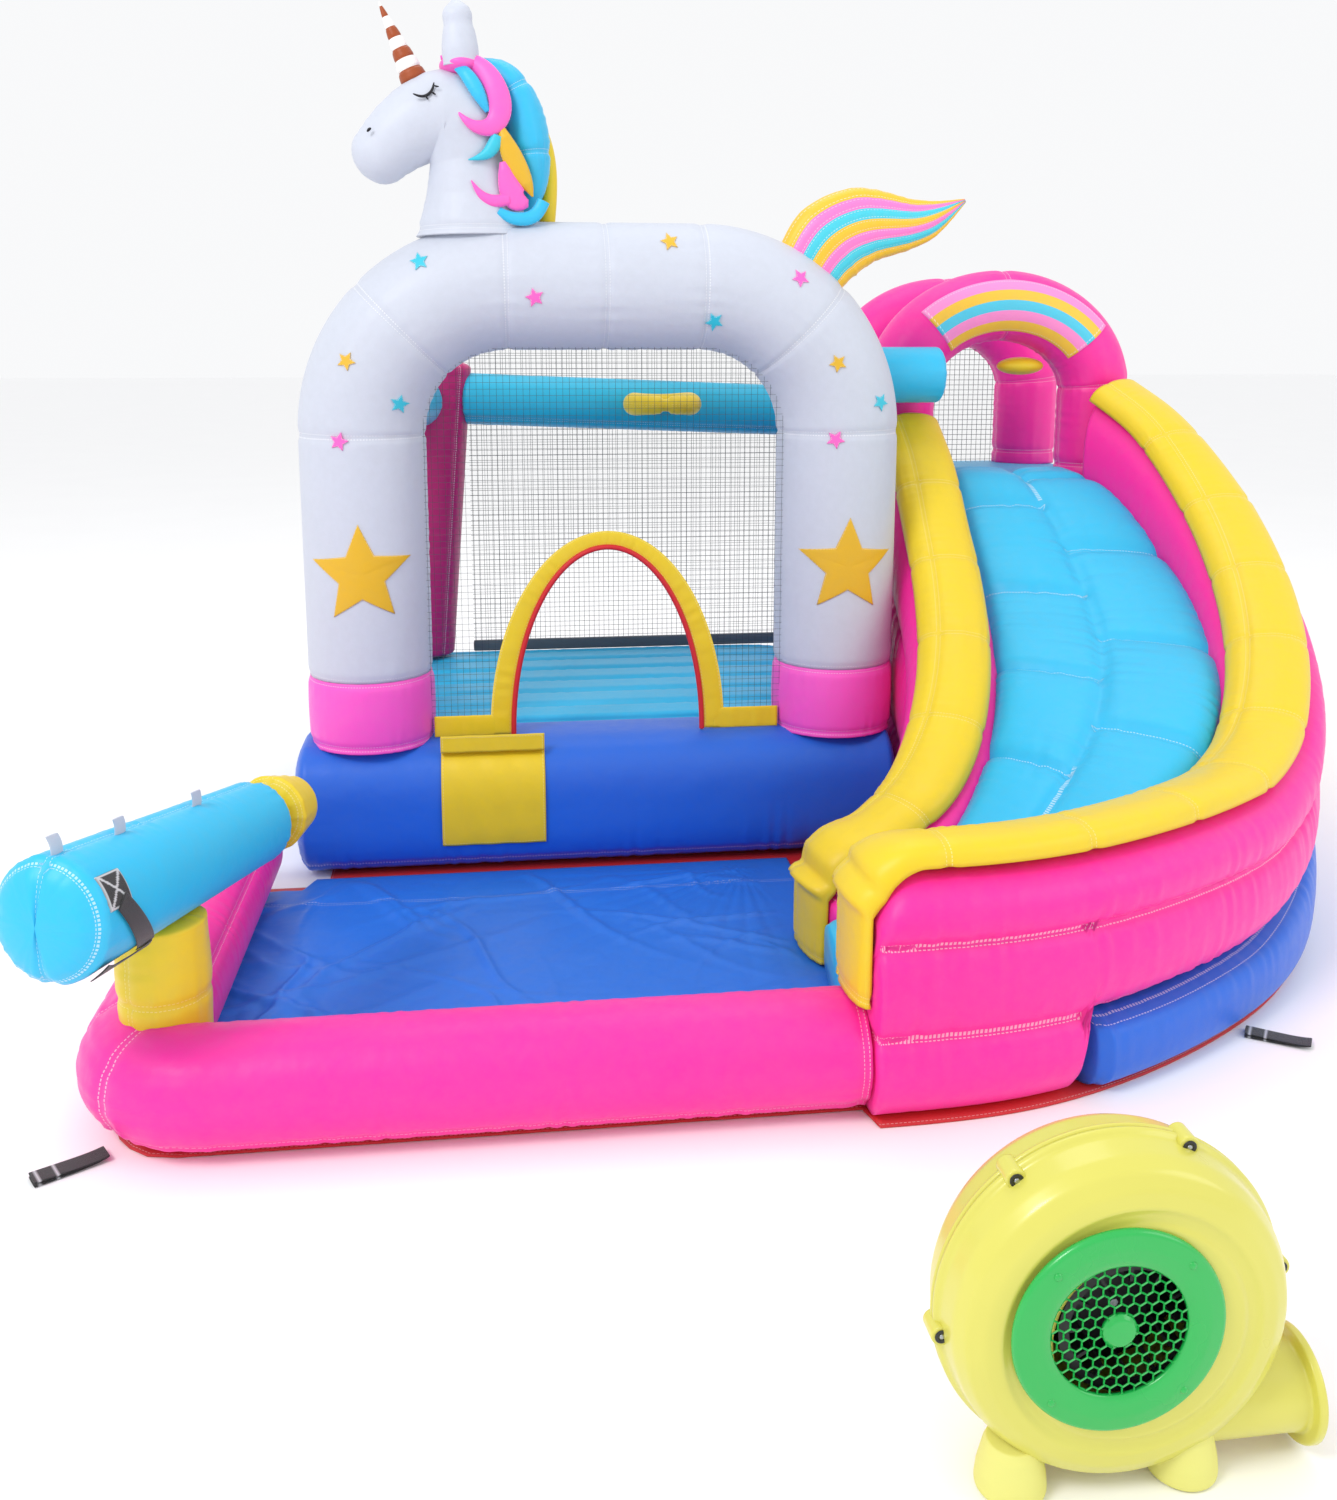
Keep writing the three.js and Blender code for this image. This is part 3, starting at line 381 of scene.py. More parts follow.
class Nodes:
    """Short names for adding and linking the nodes of one material."""

    def __init__(self, name):
        self.material = bpy.data.materials.new(name)
        self.material.use_nodes = True
        self.tree = self.material.node_tree
        self.shader = self.tree.nodes["Principled BSDF"]

    def add(self, kind, inputs=None, **settings):
        node = self.tree.nodes.new("ShaderNode" + kind)
        for key, value in settings.items():
            setattr(node, key, value)
        for key, value in (inputs or {}).items():
            self.put(node.inputs[key], value)
        return node

    def put(self, socket, value):
        if isinstance(value, bpy.types.NodeSocket):
            self.tree.links.new(value, socket)
        else:
            socket.default_value = value

    def math(self, operation, a, b=0.0):
        return self.add("Math", {0: a, 1: b}, operation=operation).outputs[0]

    def attribute(self, name):
        return self.add("Attribute", attribute_name=name).outputs["Fac"]

    def mix(self, share, a, b):
        node = self.add("Mix", data_type="RGBA")
        for socket, value in ((0, share), (6, a), (7, b)):
            self.put(node.inputs[socket], value)
        return node.outputs[2]

    def noise(self, vector, scale, detail=4.0, rough=0.5):
        return self.add("TexNoise", {"Vector": vector, "Scale": scale, "Detail": detail, "Roughness": rough})

    def ramp(self, share, stops, sharp=False):
        node = self.add("ValToRGB", {"Fac": share})
        node.color_ramp.interpolation = "CONSTANT" if sharp else "LINEAR"
        for k, (place, colour) in enumerate(stops):
            element = node.color_ramp.elements[k] if k < 2 else node.color_ramp.elements.new(place)
            element.position = place
            element.color = colour
        return node.outputs["Color"]


def coated_cloth(name, code, rough=0.42, sheen=0.06, thread="ffffff", folds=0.35, colours=None, key=None):
    """Woven polyester with a soft coating: plain weave and soft wrinkles in the bump, a slightly uneven
    colour, painted shade that darkens the cloth along each seam groove and a row of stitches on each side
    of a seam. colours and key paint it in stripes instead."""
    n = Nodes(name)
    cloth = n.add("TexCoord").outputs["UV"]
    place = n.add("TexCoord").outputs["Object"]
    across, down = (n.add("SeparateXYZ", {0: cloth}).outputs[k] for k in (0, 1))
    yarn = 2200.0
    warp = n.math("SINE", n.math("MULTIPLY", across, yarn))
    weft = n.math("SINE", n.math("MULTIPLY", down, yarn))
    weave = n.math("MULTIPLY", warp, weft)
    soft = n.noise(place, 5.5, 3.0, 0.5).outputs["Fac"]
    fine = n.noise(place, 38.0, 3.0, 0.6).outputs["Fac"]
    broad = n.noise(place, 1.9, 2.0).outputs["Fac"]
    if colours:
        stops = [(k / len(colours), linear(c)) for k, c in enumerate(colours)]
        base = n.ramp(n.attribute(key), stops, sharp=True)
    else:
        base = linear(code)
    shade = n.add("HueSaturation", {"Color": base, "Saturation": 0.94, "Value": 0.88}).outputs["Color"]
    bright = n.add("HueSaturation", {"Color": base, "Saturation": 1.03, "Value": 1.05}).outputs["Color"]
    uneven = n.mix(n.math("MULTIPLY", n.math("ADD", broad, fine), 0.5), shade, bright)
    # painted shade: within 12 mm of a seam the colour is mixed up to 35 % towards the darker shade copy,
    # standing in for the shade in the pinched seam groove
    away = n.attribute("seam")
    near = n.math("SUBTRACT", 1.0, n.math("MULTIPLY", away, 1 / 0.012))
    seam_shade_mask = n.math("MAXIMUM", near, 0.0)
    sewn = n.mix(n.math("MULTIPLY", seam_shade_mask, 0.35), uneven, shade)
    rows = n.math("LESS_THAN", n.math("ABSOLUTE", n.math("SUBTRACT", away, 0.006)), 0.0009)
    dashes = n.math("GREATER_THAN",
                    n.math("SINE", n.math("MULTIPLY", n.attribute("seam_run"), TURN / 0.009)), -0.35)
    stitch = n.math("MULTIPLY", rows, dashes)
    colour = n.mix(n.math("MULTIPLY", stitch, 0.38), sewn, linear(thread))
    n.put(n.shader.inputs["Base Color"], colour)
    uneven_gloss = n.math("ADD", n.math("MULTIPLY", fine, 0.16), rough - 0.08)
    n.put(n.shader.inputs["Roughness"], uneven_gloss)
    n.shader.inputs["Sheen Weight"].default_value = sheen
    n.shader.inputs["Sheen Roughness"].default_value = 0.4
    n.shader.inputs["Specular IOR Level"].default_value = 0.35
    n.shader.inputs["Coat Weight"].default_value = 0.06
    n.shader.inputs["Coat Roughness"].default_value = 0.3
    folded = n.add("Bump", {"Height": soft, "Strength": folds, "Distance": 0.02}).outputs[0]
    pitted = n.add("Bump", {"Height": fine, "Strength": 0.12, "Distance": 0.004, "Normal": folded}).outputs[0]
    woven = n.add("Bump",
                  {"Height": weave, "Strength": 0.10, "Distance": 0.0006, "Normal": pitted}).outputs[0]
    raised = n.add("Bump",
                   {"Height": stitch, "Strength": 0.5, "Distance": 0.0015, "Normal": woven}).outputs[0]
    n.put(n.shader.inputs["Normal"], raised)
    return n.material


def moulded(name, code, rough=0.3, grain=0.06, coat=0.3):
    """Blow-moulded plastic: faint orange peel, a slow drift of tone and gloss, and a thin clear coat."""
    n = Nodes(name)
    place = n.add("TexCoord").outputs["Object"]
    peel = n.noise(place, 260.0, 2.0).outputs["Fac"]
    drift = n.noise(place, 7.0, 3.0).outputs["Fac"]
    base = linear(code)
    darker = n.add("HueSaturation", {"Color": base, "Value": 0.93}).outputs["Color"]
    n.put(n.shader.inputs["Base Color"], n.mix(drift, darker, base))
    n.put(n.shader.inputs["Roughness"], n.math("ADD", n.math("MULTIPLY", drift, 0.12), rough - 0.06))
    n.shader.inputs["Coat Weight"].default_value = coat
    n.shader.inputs["Coat Roughness"].default_value = 0.12
    bump = n.add("Bump", {"Height": peel, "Strength": grain, "Distance": 0.0008}).outputs[0]
    n.put(n.shader.inputs["Normal"], bump)
    return n.material


def metal(name, code, rough=0.3):
    """Turned steel: fine rings of tone round its axis and a drift of gloss."""
    n = Nodes(name)
    place = n.add("TexCoord").outputs["Object"]
    rings = n.add("TexWave", {"Vector": place, "Scale": 420.0, "Distortion": 1.5},
                  wave_type="BANDS").outputs["Fac"]
    base = linear(code)
    n.put(n.shader.inputs["Base Color"],
          n.mix(rings, n.add("HueSaturation", {"Color": base, "Value": 0.8}).outputs[0], base))
    n.put(n.shader.inputs["Roughness"], n.math("ADD", n.math("MULTIPLY", rings, 0.1), rough))
    n.shader.inputs["Metallic"].default_value = 1.0
    return n.material


def webbing_cloth(name, code, thread="d8dadf"):
    """Heavy woven tape: ribs across it, a fine weave and box stitching from the piece's own attribute."""
    n = Nodes(name)
    cloth = n.add("TexCoord").outputs["UV"]
    across, down = (n.add("SeparateXYZ", {0: cloth}).outputs[k] for k in (0, 1))
    ribs = n.math("SINE", n.math("MULTIPLY", across, 3200.0))
    yarns = n.math("MULTIPLY", ribs, n.math("SINE", n.math("MULTIPLY", down, 4200.0)))
    speck = n.noise(cloth, 420.0, 2.0).outputs["Fac"]
    base = linear(code)
    pale = n.add("HueSaturation", {"Color": base, "Value": 1.9}).outputs["Color"]
    tone = n.mix(n.math("MULTIPLY", speck, 0.6), base, pale)
    n.put(n.shader.inputs["Base Color"], n.mix(n.attribute("stitch"), tone, linear(thread)))
    n.shader.inputs["Roughness"].default_value = 0.8
    n.shader.inputs["Sheen Weight"].default_value = 0.3
    bump = n.add("Bump", {"Height": yarns, "Strength": 0.4, "Distance": 0.0006}).outputs[0]
    n.put(n.shader.inputs["Normal"], bump)
    return n.material


PINK = coated_cloth("pink_cloth", "fb0a9e")
PALE_PINK = coated_cloth("pale_pink_cloth", "fd5aca")
MAGENTA = coated_cloth("magenta_cloth", "c4026e")
WHITE = coated_cloth("white_cloth", "c9cedb", rough=0.5, folds=0.22)
BLUE = coated_cloth("blue_cloth", "0262d6")
POOL_BLUE = coated_cloth("pool_blue_cloth", "0a6fdd", rough=0.46, folds=0.5)
CYAN = coated_cloth("cyan_cloth", "28bcea")
DEEP_CYAN = coated_cloth("deep_cyan_cloth", "01b2d6")
YELLOW = coated_cloth("yellow_cloth", "eacb02", thread="fff8c0")
GOLD = coated_cloth("gold_cloth", "e4b202", folds=0.1)
RED = coated_cloth("red_cloth", "d0101e", rough=0.55)
ROSE = coated_cloth("rose_cloth", "ff62c4", folds=0.1)
TEAL = coated_cloth("teal_cloth", "2fc4dc", folds=0.1)
HORN = coated_cloth("horn_cloth", "a9552c", colours=["a04a20", "f4f0ee"] * 4, key="band")
TAIL_CLOTH = coated_cloth("striped_tail_cloth", "ffffff", key="band",
                          colours=["f9c22a", "ff7cc8", "45cde0", "f9c22a", "ff7cc8", "45cde0", "f9c22a"])
RAINBOW = coated_cloth("rainbow_cloth", "ffffff", key="band",
                       colours=["f7c53a", "ff8fd0", "4fcbe8", "f7c53a", "ff8fd0"])
NET = webbing_cloth("net_cord", "30343a")
TAPE = webbing_cloth("black_tape", "17181b")
LACE = coated_cloth("ink_cloth", "1c1c22", rough=0.6, folds=0.0)
SHELL = moulded("blower_shell_plastic", "d8d25e")
GREEN = moulded("blower_green_plastic", "1eb24e", rough=0.26)
DARK = moulded("dark_plastic", "1f2124", rough=0.45, coat=0.1)
SCARLET = moulded("rocker_plastic", "c81420", rough=0.3)
FOOT = moulded("foot_rubber", "e4e07e", rough=0.6, grain=0.2, coat=0.0)
STEEL = metal("turned_steel", "b4b8bd")


def finish(piece, material, slot, *nodes, body="root", fill=None):
    """Gives a piece its material and body, and hides the CAD nodes that it stands for; slot is not used."""
    piece.data.materials.clear()
    piece.data.materials.append(material)
    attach(piece, body)
    if nodes:
        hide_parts(*nodes)
    return piece


# ---- front arch, its bands, bolster and stars ----
ARCH_HALF, ARCH_TUBE, ARCH_TOP, ARCH_CORNER = 0.7355, 0.19, 1.8, 0.44
BASE_TOP, BAND_TOP = 0.418, 0.625
ARCH_LINE = spaced(arch_path(ARCH_HALF, BAND_TOP, ARCH_TOP - ARCH_CORNER, ARCH_CORNER, ARCH_CORNER, 0),
                   step=0.009)


def white_arch():
    """One tube along the arch's axis, gathered at the seams of its shoulders and along its inner seam."""
    grid = tube(ARCH_LINE, Y, ARCH_TUBE, sides=120)
    legs = ARCH_TOP - ARCH_CORNER - BAND_TOP
    whole = lengths(grid)[0][-1]
    bend = ARCH_CORNER * np.pi / 2
    stops = [0.004, legs, legs + bend * 0.5, legs + bend, whole / 2]
    shares = [s / whole for s in stops] + [1 - s / whole for s in stops[:-1]]
    seams = [lengthwise(grid, 0.25), lengthwise(grid, 0.5)] + [ringwise(grid, share) for share in shares]
    arch = inflated("white_arch_skin", grid, seams, pinch=0.005, ripple=0.0024, pitch=0.06, reach=0.05)
    finish(arch, WHITE, "white_fabric", "white_arch", fill=0.9)


def leg_band(side, sign):
    """Short upright tube under each end of the arch, pinched where it is sewn to the arch and to the
    bolster."""
    path = spaced([[sign * ARCH_HALF, 0, BASE_TOP - 0.012], [sign * ARCH_HALF, 0, BAND_TOP - 0.001]],
                  step=0.006)
    height = (path[:, 2] - BASE_TOP) / (BAND_TOP - BASE_TOP)
    radius = 0.191 + 0.004 * np.sin(np.pi * np.clip(height, 0, 1))
    grid = tube(path, Y, radius, sides=120)
    seams = [ringwise(grid, 0.07), ringwise(grid, 0.985)]
    band = inflated(f"leg_band_{side}_skin", grid, seams, pinch=0.005, ripple=0.003, pitch=0.05, reach=0.04)
    finish(band, PALE_PINK, "pale_pink_fabric", f"leg_band_{side}", fill=0.9)


def front_bolster():
    """Squarish tube along X, domed at both ends, with a gathered ring seam just inside each end."""
    path = spaced([[-0.93, 0, 0.2122], [0.88, 0, 0.2122]], step=0.009)
    grid = swept(path, Z, *oval(0.205, 0.206, 132, 3.0), domes=(0.052, 0.052), dome_rows=14)
    seams = [ringwise(grid, 0.055), ringwise(grid, 0.945), lengthwise(grid, 0.875)]
    bolster = inflated("front_bolster", grid, seams, pinch=0.006, ripple=0.004, pitch=0.06, reach=0.07)
    finish(bolster, BLUE, "blue_fabric", "base_front", fill=0.85)


def on_arch_front(x, z, proud):
    """Point of the arch chamber's front straight behind (x, z): y = -sqrt(R ** 2 - d ** 2), where d is the
    distance from the arch's axis."""
    away = np.hypot(x[..., None] - ARCH_LINE[:, 0], z[..., None] - ARCH_LINE[:, 2]).min(-1)
    away = np.minimum(away, ARCH_TUBE * 0.995)
    return np.stack([x, -np.sqrt(ARCH_TUBE ** 2 - away ** 2) - proud, z], -1)


def star(name, x, z, size, material, slot, tilt=0.0, depth=0.47):
    """Five-pointed applique laid over the arch: its edge radius runs straight from tip to notch, and its rim
    dips into the cloth."""
    count = 100
    turn = np.arange(count) / count * TURN
    phase = np.abs(((turn / TURN * 5) % 1) - 0.5) * 2
    tip, notch = size, size * depth
    corner = phase * np.pi / 5
    edge = tip * notch * np.sin(np.pi / 5) / (notch * np.sin(np.pi / 5 - (np.pi / 5 - corner))
                                            + tip * np.sin(np.pi / 5 - corner))
    share = np.array([0.02, 0.25, 0.5, 0.75, 0.95, 1.0, 1.01])[:, None]
    proud = np.array([0.0042, 0.0042, 0.0042, 0.0042, 0.0042, 0.0034, -0.004])[:, None] + 0 * turn
    heading = turn + np.pi / 2 + tilt
    px, pz = x + share * edge * np.cos(heading), z + share * edge * np.sin(heading)
    grid = on_arch_front(px, pz, proud)
    away = (1 - share) * edge
    piece = skin(name, grid, poles=(True, False), values={"seam": away + 0.004, "seam_run": turn * size})
    finish(piece, material, slot)


def all_stars():
    for side, x, z, tilt in [("left", -0.738, 0.955, 0.03), ("right", 0.735, 0.952, -0.02)]:
        star(f"big_star_{side}", x, z, 0.152, GOLD, "yellow_fabric", tilt)
    small = {
        "cyan": (TEAL, "cyan_fabric", [(-0.543, 1.865), (0.318, 1.694), (0.833, 1.454), (-0.611, 1.456)]),
        "pink": (ROSE, "pink_fabric", [(-0.214, 1.762), (0.577, 1.823), (0.688, 1.343), (-0.787, 1.35)]),
        "gold": (GOLD, "yellow_fabric", [(0.186, 1.927), (0.689, 1.572), (-0.758, 1.581)]),
    }
    for colour, (material, slot, places) in small.items():
        for number, (x, z) in enumerate(places, 1):
            star(f"small_star_{colour}_{number}", x, z, 0.028, material, slot, 0.25 * number, 0.5)


# ---- bouncing chamber: floor, rear post, beams and link ----
def chamber_floor():
    """Quilted jumping floor: channels across it every 0.17 m, over a plain mattress."""
    def channels(x, y):
        pitch = 0.17
        return np.abs((y / pitch + 0.5) % 1 - 0.5) * pitch, x
    floor = cushion("jumping_floor", (-0.87, 0.211, 0.352), (0.9, 1.24, 0.4), swell=0.004, edge=0.018,
                    crown=0.012,
                    quilt=channels, around=340, over=90)
    finish(floor, CYAN, "cyan_fabric", "jump_floor", fill=0.8)
    mattress = cushion("floor_mattress", (-0.92, 0.211, 0.0065), (0.9, 1.3, 0.3515), swell=0.02, edge=0.07)
    finish(mattress, BLUE, "blue_fabric", "base_block", fill=0.8)


def plain_tube(name, start, end, radius, material, slot, node, axis=Z, dome=0.03, body="root", sides=88,
               end_radius=None):
    """Straight inflated tube with a gathered seam near each end and one along it."""
    path = spaced([start, end], step=0.01)
    radii = np.linspace(radius, end_radius or radius, len(path))
    grid = tube(path, axis, radii, domes=(dome, dome), sides=sides)
    whole = lengths(grid)[0][-1]
    near = (dome + 0.03) / whole
    seams = [ringwise(grid, near), ringwise(grid, 1 - near), lengthwise(grid, 0.62)]
    piece = inflated(name, grid, seams, pinch=0.005, ripple=0.003, pitch=0.045, reach=0.05)
    return finish(piece, material, slot, node, body=body, fill=0.9)


def posts_and_beams():
    plain_tube("rear_post_left", (-0.652, 1.15, 0.44), (-0.561, 1.15, 1.545), 0.138, MAGENTA,
               "magenta_fabric",
               "back_post_left", axis=Y, dome=0.03)
    plain_tube("rear_beam", (-0.44, 1.15, 1.418), (0.94, 1.15, 1.361), 0.098, DEEP_CYAN, "cyan_fabric",
               "back_beam",
               axis=Y, dome=0.03)
    plain_tube("left_beam", (-0.731, 0.225, 1.423), (-0.625, 0.965, 1.417), 0.097, DEEP_CYAN, "cyan_fabric",
               "side_beam_left")
    plain_tube("right_beam", (0.765, 0.275, 1.36), (0.9, 0.99, 1.36), 0.097, DEEP_CYAN, "cyan_fabric",
               "side_beam_right")
    plain_tube("tower_link", (0.935, 0.287, 1.525), (1.145, 0.287, 1.525), 0.093, CYAN, "cyan_fabric",
               "link_tube")


# ---- nets ----
def cords(name, starts, ends, thick):
    """Net cords as three-sided prisms from each start to each end."""
    starts, ends = np.asarray(starts, float), np.asarray(ends, float)
    forward = unit(ends - starts)
    helper = np.where(np.abs(forward[:, 2:]) > 0.8, X, Z)
    side = unit(np.cross(forward, helper))
    other = np.cross(forward, side)
    turn = np.arange(3) / 3 * TURN
    ring = side[:, None] * np.cos(turn)[:, None] + other[:, None] * np.sin(turn)[:, None]
    ring *= thick / 2
    points = np.concatenate([starts[:, None] + ring, ends[:, None] + ring], axis=1)
    first = np.arange(len(starts))[:, None] * 6
    walls = np.array([[0, 1, 4, 3], [1, 2, 5, 4], [2, 0, 3, 5]])
    lids = np.array([[2, 1, 0], [3, 4, 5]])
    quads = (first[:, :, None] + walls[None]).reshape(-1, 4)
    triangles = (first[:, :, None] + lids[None]).reshape(-1, 3)
    reach = np.linalg.norm(ends - starts, axis=1)
    uv = np.zeros((len(quads) * 4 + len(triangles) * 3, 2))
    corner_reach = np.repeat(reach, 3)[:, None] * np.array([0, 0, 1, 1])
    uv[:len(quads) * 4, 0] = corner_reach.ravel()
    return make_mesh(name, points.reshape(-1, 3), quads, triangles, uv,
                     {"stitch": np.zeros(len(points) * 6)}, smooth=False)


def net(name, inside, low, high, place, pitch=0.02, thick=0.0021):
    """Square netting: cords along both directions of a panel, cut where inside(u, v) is false, and
    carried into space by place(u, v)."""
    starts, ends = [], []
    fine = 0.005
    for across in (0, 1):
        lines = np.arange(low[across] + pitch / 2, high[across], pitch)
        steps = np.arange(low[1 - across], high[1 - across] + fine, fine)
        line, step = np.meshgrid(lines, steps, indexing="ij")
        u, v = (line, step) if across == 0 else (step, line)
        kept = np.pad(inside(u, v).astype(int), ((0, 0), (1, 1)))
        change = np.diff(kept, axis=1)
        row, first = np.nonzero(change == 1)
        last = np.nonzero(change == -1)[1] - 1
        for stops, store in ((first, starts), (last, ends)):
            value = steps[np.clip(stops, 0, len(steps) - 1)]
            pair = (lines[row], value) if across == 0 else (value, lines[row])
            store.append(place(*pair))
    starts, ends = np.concatenate(starts), np.concatenate(ends)
    long_enough = np.linalg.norm(ends - starts, axis=1) > 0.01
    return cords(name, starts[long_enough], ends[long_enough], thick)


ENTRY_HALF, ENTRY_TOP, ENTRY_FOOT = 0.37, 1.06, 0.422


def inside_entry(x, z, shrink=0.0, drop=0.0):
    """True inside the half ellipse of the entry."""
    rise = ENTRY_TOP - ENTRY_FOOT - drop
    return (x / (ENTRY_HALF - shrink)) ** 2 + ((z - ENTRY_FOOT) / rise) ** 2 < 1


def all_nets():
    def arch_window(x, z):
        away = np.hypot(x[..., None] - ARCH_LINE[::6, 0], z[..., None] - ARCH_LINE[::6, 2]).min(-1)
        under = (np.abs(x) < ARCH_HALF - 0.17) & (z < 1.63)
        return under & (away > ARCH_TUBE * 0.94) & ~inside_entry(x, z, 0.02)
    front = net("front_net", arch_window, (-0.56, 0.425), (0.56, 1.64),
                lambda x, z: np.stack([x, 0 * x - 0.0585, z], -1), thick=0.0011)
    finish(front, NET, "netting", "net_front")
    back = net("rear_net", lambda x, z: x < 9, (-0.44, 0.4), (0.955, 1.64),
               lambda x, z: np.stack([x, 0 * x + 1.2525, z], -1), thick=0.0018)
    finish(back, NET, "netting", "net_back")
    side = net("left_net", lambda y, z: y < 9, (0.21, 0.428), (1.15, 1.505),
               lambda y, z: np.stack([-0.848 + (y - 0.21) * 0.035, y, z], -1), thick=0.0022)
    finish(side, NET, "netting", "net_left")
    tower = net("tower_rear_net", lambda x,
                z: np.hypot((x - 1.446) / 0.23, (z - 1.46) / 0.185 * (z > 1.46)) < 1,
                (1.216, 1.153), (1.676, 1.655), lambda x, z: np.stack([x, 0 * x + 1.1515, z], -1),
                thick=0.0022)
    finish(tower, NET, "netting", "tower_net_back")
    hem = cushion("rear_net_hem", (-0.44, 1.236, 0.398), (0.955, 1.262, 0.44), swell=0.001, edge=0.004,
                  crown=0.001)
    finish(hem, TAPE_CLOTH, "webbing")


TAPE_CLOTH = coated_cloth("hem_cloth", "59646c", rough=0.7)


# ---- entry: band, piping and label ----
def entry_band():
    """Flat band of cloth 66 mm wide round the half ellipse of the entry, hemmed at both edges, with a wing to
    each leg; the cloth is 8 mm thick at its stuffed hems."""
    count = 200
    turn = np.linspace(0, np.pi, count)
    inner_half, inner_top = ENTRY_HALF - 0.066, ENTRY_TOP - 0.044
    share = np.concatenate([np.linspace(0, 1, 14), np.linspace(1, 0, 14)])
    bulge = np.sin(np.pi * np.linspace(0, 1, 14)) ** 0.5
    depth = np.concatenate([-0.0042 * bulge, 0.0042 * bulge[::-1]])
    half = inner_half + share[None] * (ENTRY_HALF - inner_half)
    rise = (inner_top - ENTRY_FOOT) + share[None] * (ENTRY_TOP - inner_top)
    slack = 0.0016 * wavy(turn[:, None] * 0.5, 0.05, 2) * np.sin(np.pi * share[None])
    arch = np.stack([half * np.cos(turn)[:, None], -0.068 + depth[None] + slack,
                     ENTRY_FOOT + rise * np.sin(turn)[:, None]], 2)
    rim = np.minimum(share, 1 - share)[None] * 0.066
    pieces = [skin("entry_band_arch", arch,
                   values={"seam": rim + 0 * turn[:, None], "seam_run": turn[:, None] * 0.5})]
    for side, sign in (("left", -1), ("right", 1)):
        path = spaced([[sign * 0.335, -0.068, 0.453], [sign * 0.543, -0.068, 0.453]], step=0.008)
        wing = swept(path, Y, *oval(0.033, 0.0042, 32, 4.0))
        wing[..., 1] += 0.0016 * wavy(wing[..., 0], 0.06, 5)
        pieces.append(skin(f"entry_wing_{side}", wing))
    band = merged("entry_band_cloth", pieces)
    finish(band, YELLOW, "yellow_fabric", "entry_band")
    piping_path = np.stack([(inner_half - 0.006) * np.cos(turn), np.full(count, -0.0705),
                            ENTRY_FOOT + (inner_top - 0.006 - ENTRY_FOOT) * np.sin(turn)], 1)
    piping = skin("entry_piping", tube(piping_path, Y, 0.0082, domes=(0.004, 0.004), sides=14))
    finish(piping, RED, "red_fabric", "entry_binding")


def label():
    """Plain stitched patch that follows the bolster's swollen front: y = -0.206 - 3 mm, curved at both
    edges."""
    x, z = np.meshgrid(np.linspace(-0.522, -0.206, 60), np.linspace(0.112, 0.452, 60), indexing="ij")
    below = np.clip((np.abs(z - 0.2122) / 0.206), 0, 0.9999)
    depth = 0.205 * (1 - below ** 3) ** (1 / 3)
    y = -np.where(z < 0.40, np.maximum(depth, 0.12), 0.17) - 0.006
    y = np.minimum(y, -0.13) + 0.0015 * np.sin(x * 60 + z * 20)
    grid = np.stack([x, y, z], -1)
    edge = np.minimum(np.minimum(x + 0.522, -0.206 - x), np.minimum(z - 0.112, 0.452 - z))
    patch = skin("label_patch_cloth", grid, closed=False, facing=(0, -1, 0),
                 values={"seam": edge, "seam_run": x + z})
    thick = patch.modifiers.new("thickness", "SOLIDIFY")
    thick.thickness = 0.002
    thick.offset = 0
    finish(patch, YELLOW, "yellow_fabric", "label_patch")


# ---- hoop on the rear beam ----
def hoop():
    """Level ring whose tube swells into two lobes, r = 0.037 + 0.006 * cos(2 t), and is nipped where it
    is tied."""
    centre = np.array([0.289, 0.901, 1.405])
    turn = np.linspace(0, TURN, 161)
    ring = np.stack([0.105 * np.cos(turn), 0.105 * np.sin(turn), 0 * turn], 1)
    nip = np.exp(-((turn - 1.5 * np.pi) / 0.16) ** 2)
    radius = 0.0375 + 0.0045 * np.cos(2 * turn) - 0.012 * nip
    radius = radius + 0.0016 * np.sin(turn * 31) * np.exp(-np.abs(turn - 1.5 * np.pi) / 0.5)
    around = np.arange(44) / 44 * TURN
    grid = ring[:, None] + radius[:, None, None] * (unit(ring)[:, None] * np.cos(around)[:, None]
                                                    + Z * np.sin(around)[:, None])
    seam = np.abs(np.sin(around / 2)) * 0.037 * np.pi + 0 * turn[:, None]
    piece = skin("ball_hoop", grid + centre, poles=(False, False),
                 values={"seam": seam, "seam_run": turn[:, None] * 0.1})
    piece.modifiers.new("join", "WELD").merge_threshold = 0.0004
    finish(piece, YELLOW, "yellow_fabric", "hoop_ring", fill=0.8)
    tie = tube(spaced([[0.289, 1.03, 1.4], [0.289, 1.075, 1.395]], step=0.004), X, 0.03, domes=(0.01, 0.01),
               sides=32)
    piece = skin("hoop_tie", tie)
    finish(piece, YELLOW, "yellow_fabric")


# ---- unicorn topper ----
def unicorn_head():
    """Tube along the neck, round the brow and out along the muzzle; its radius is largest at the brow."""
    spine = smooth_path([(-0.385, 0, 1.945), (-0.388, 0, 2.08), (-0.4, 0, 2.2), (-0.44, 0, 2.285),
                         (-0.52, 0, 2.275),
                         (-0.6, 0, 2.225), (-0.655, 0, 2.175)], 150)
    share = np.linspace(0, 1, 150)
    radius = np.interp(share, [0, 0.2, 0.36, 0.52, 0.62, 0.76, 0.9, 1],
                       [0.172, 0.137, 0.118, 0.128, 0.13, 0.116, 0.1, 0.088])
    wide = np.interp(share, [0, 0.2, 0.5, 0.7, 1], [0.8, 0.8, 0.88, 0.88, 0.95])
    grid = tube(spine, Y, radius, domes=(0, 0.075), sides=96, flatten=wide[:, None])
    seams = [lengthwise(grid, 0.0), lengthwise(grid, 0.5), ringwise(grid, 0.03)]
    head = inflated("unicorn_head_skin", grid, seams, pinch=0.004, ripple=0.0022, pitch=0.04, reach=0.045)
    finish(head, WHITE, "white_fabric", "unicorn_head", fill=0.9)


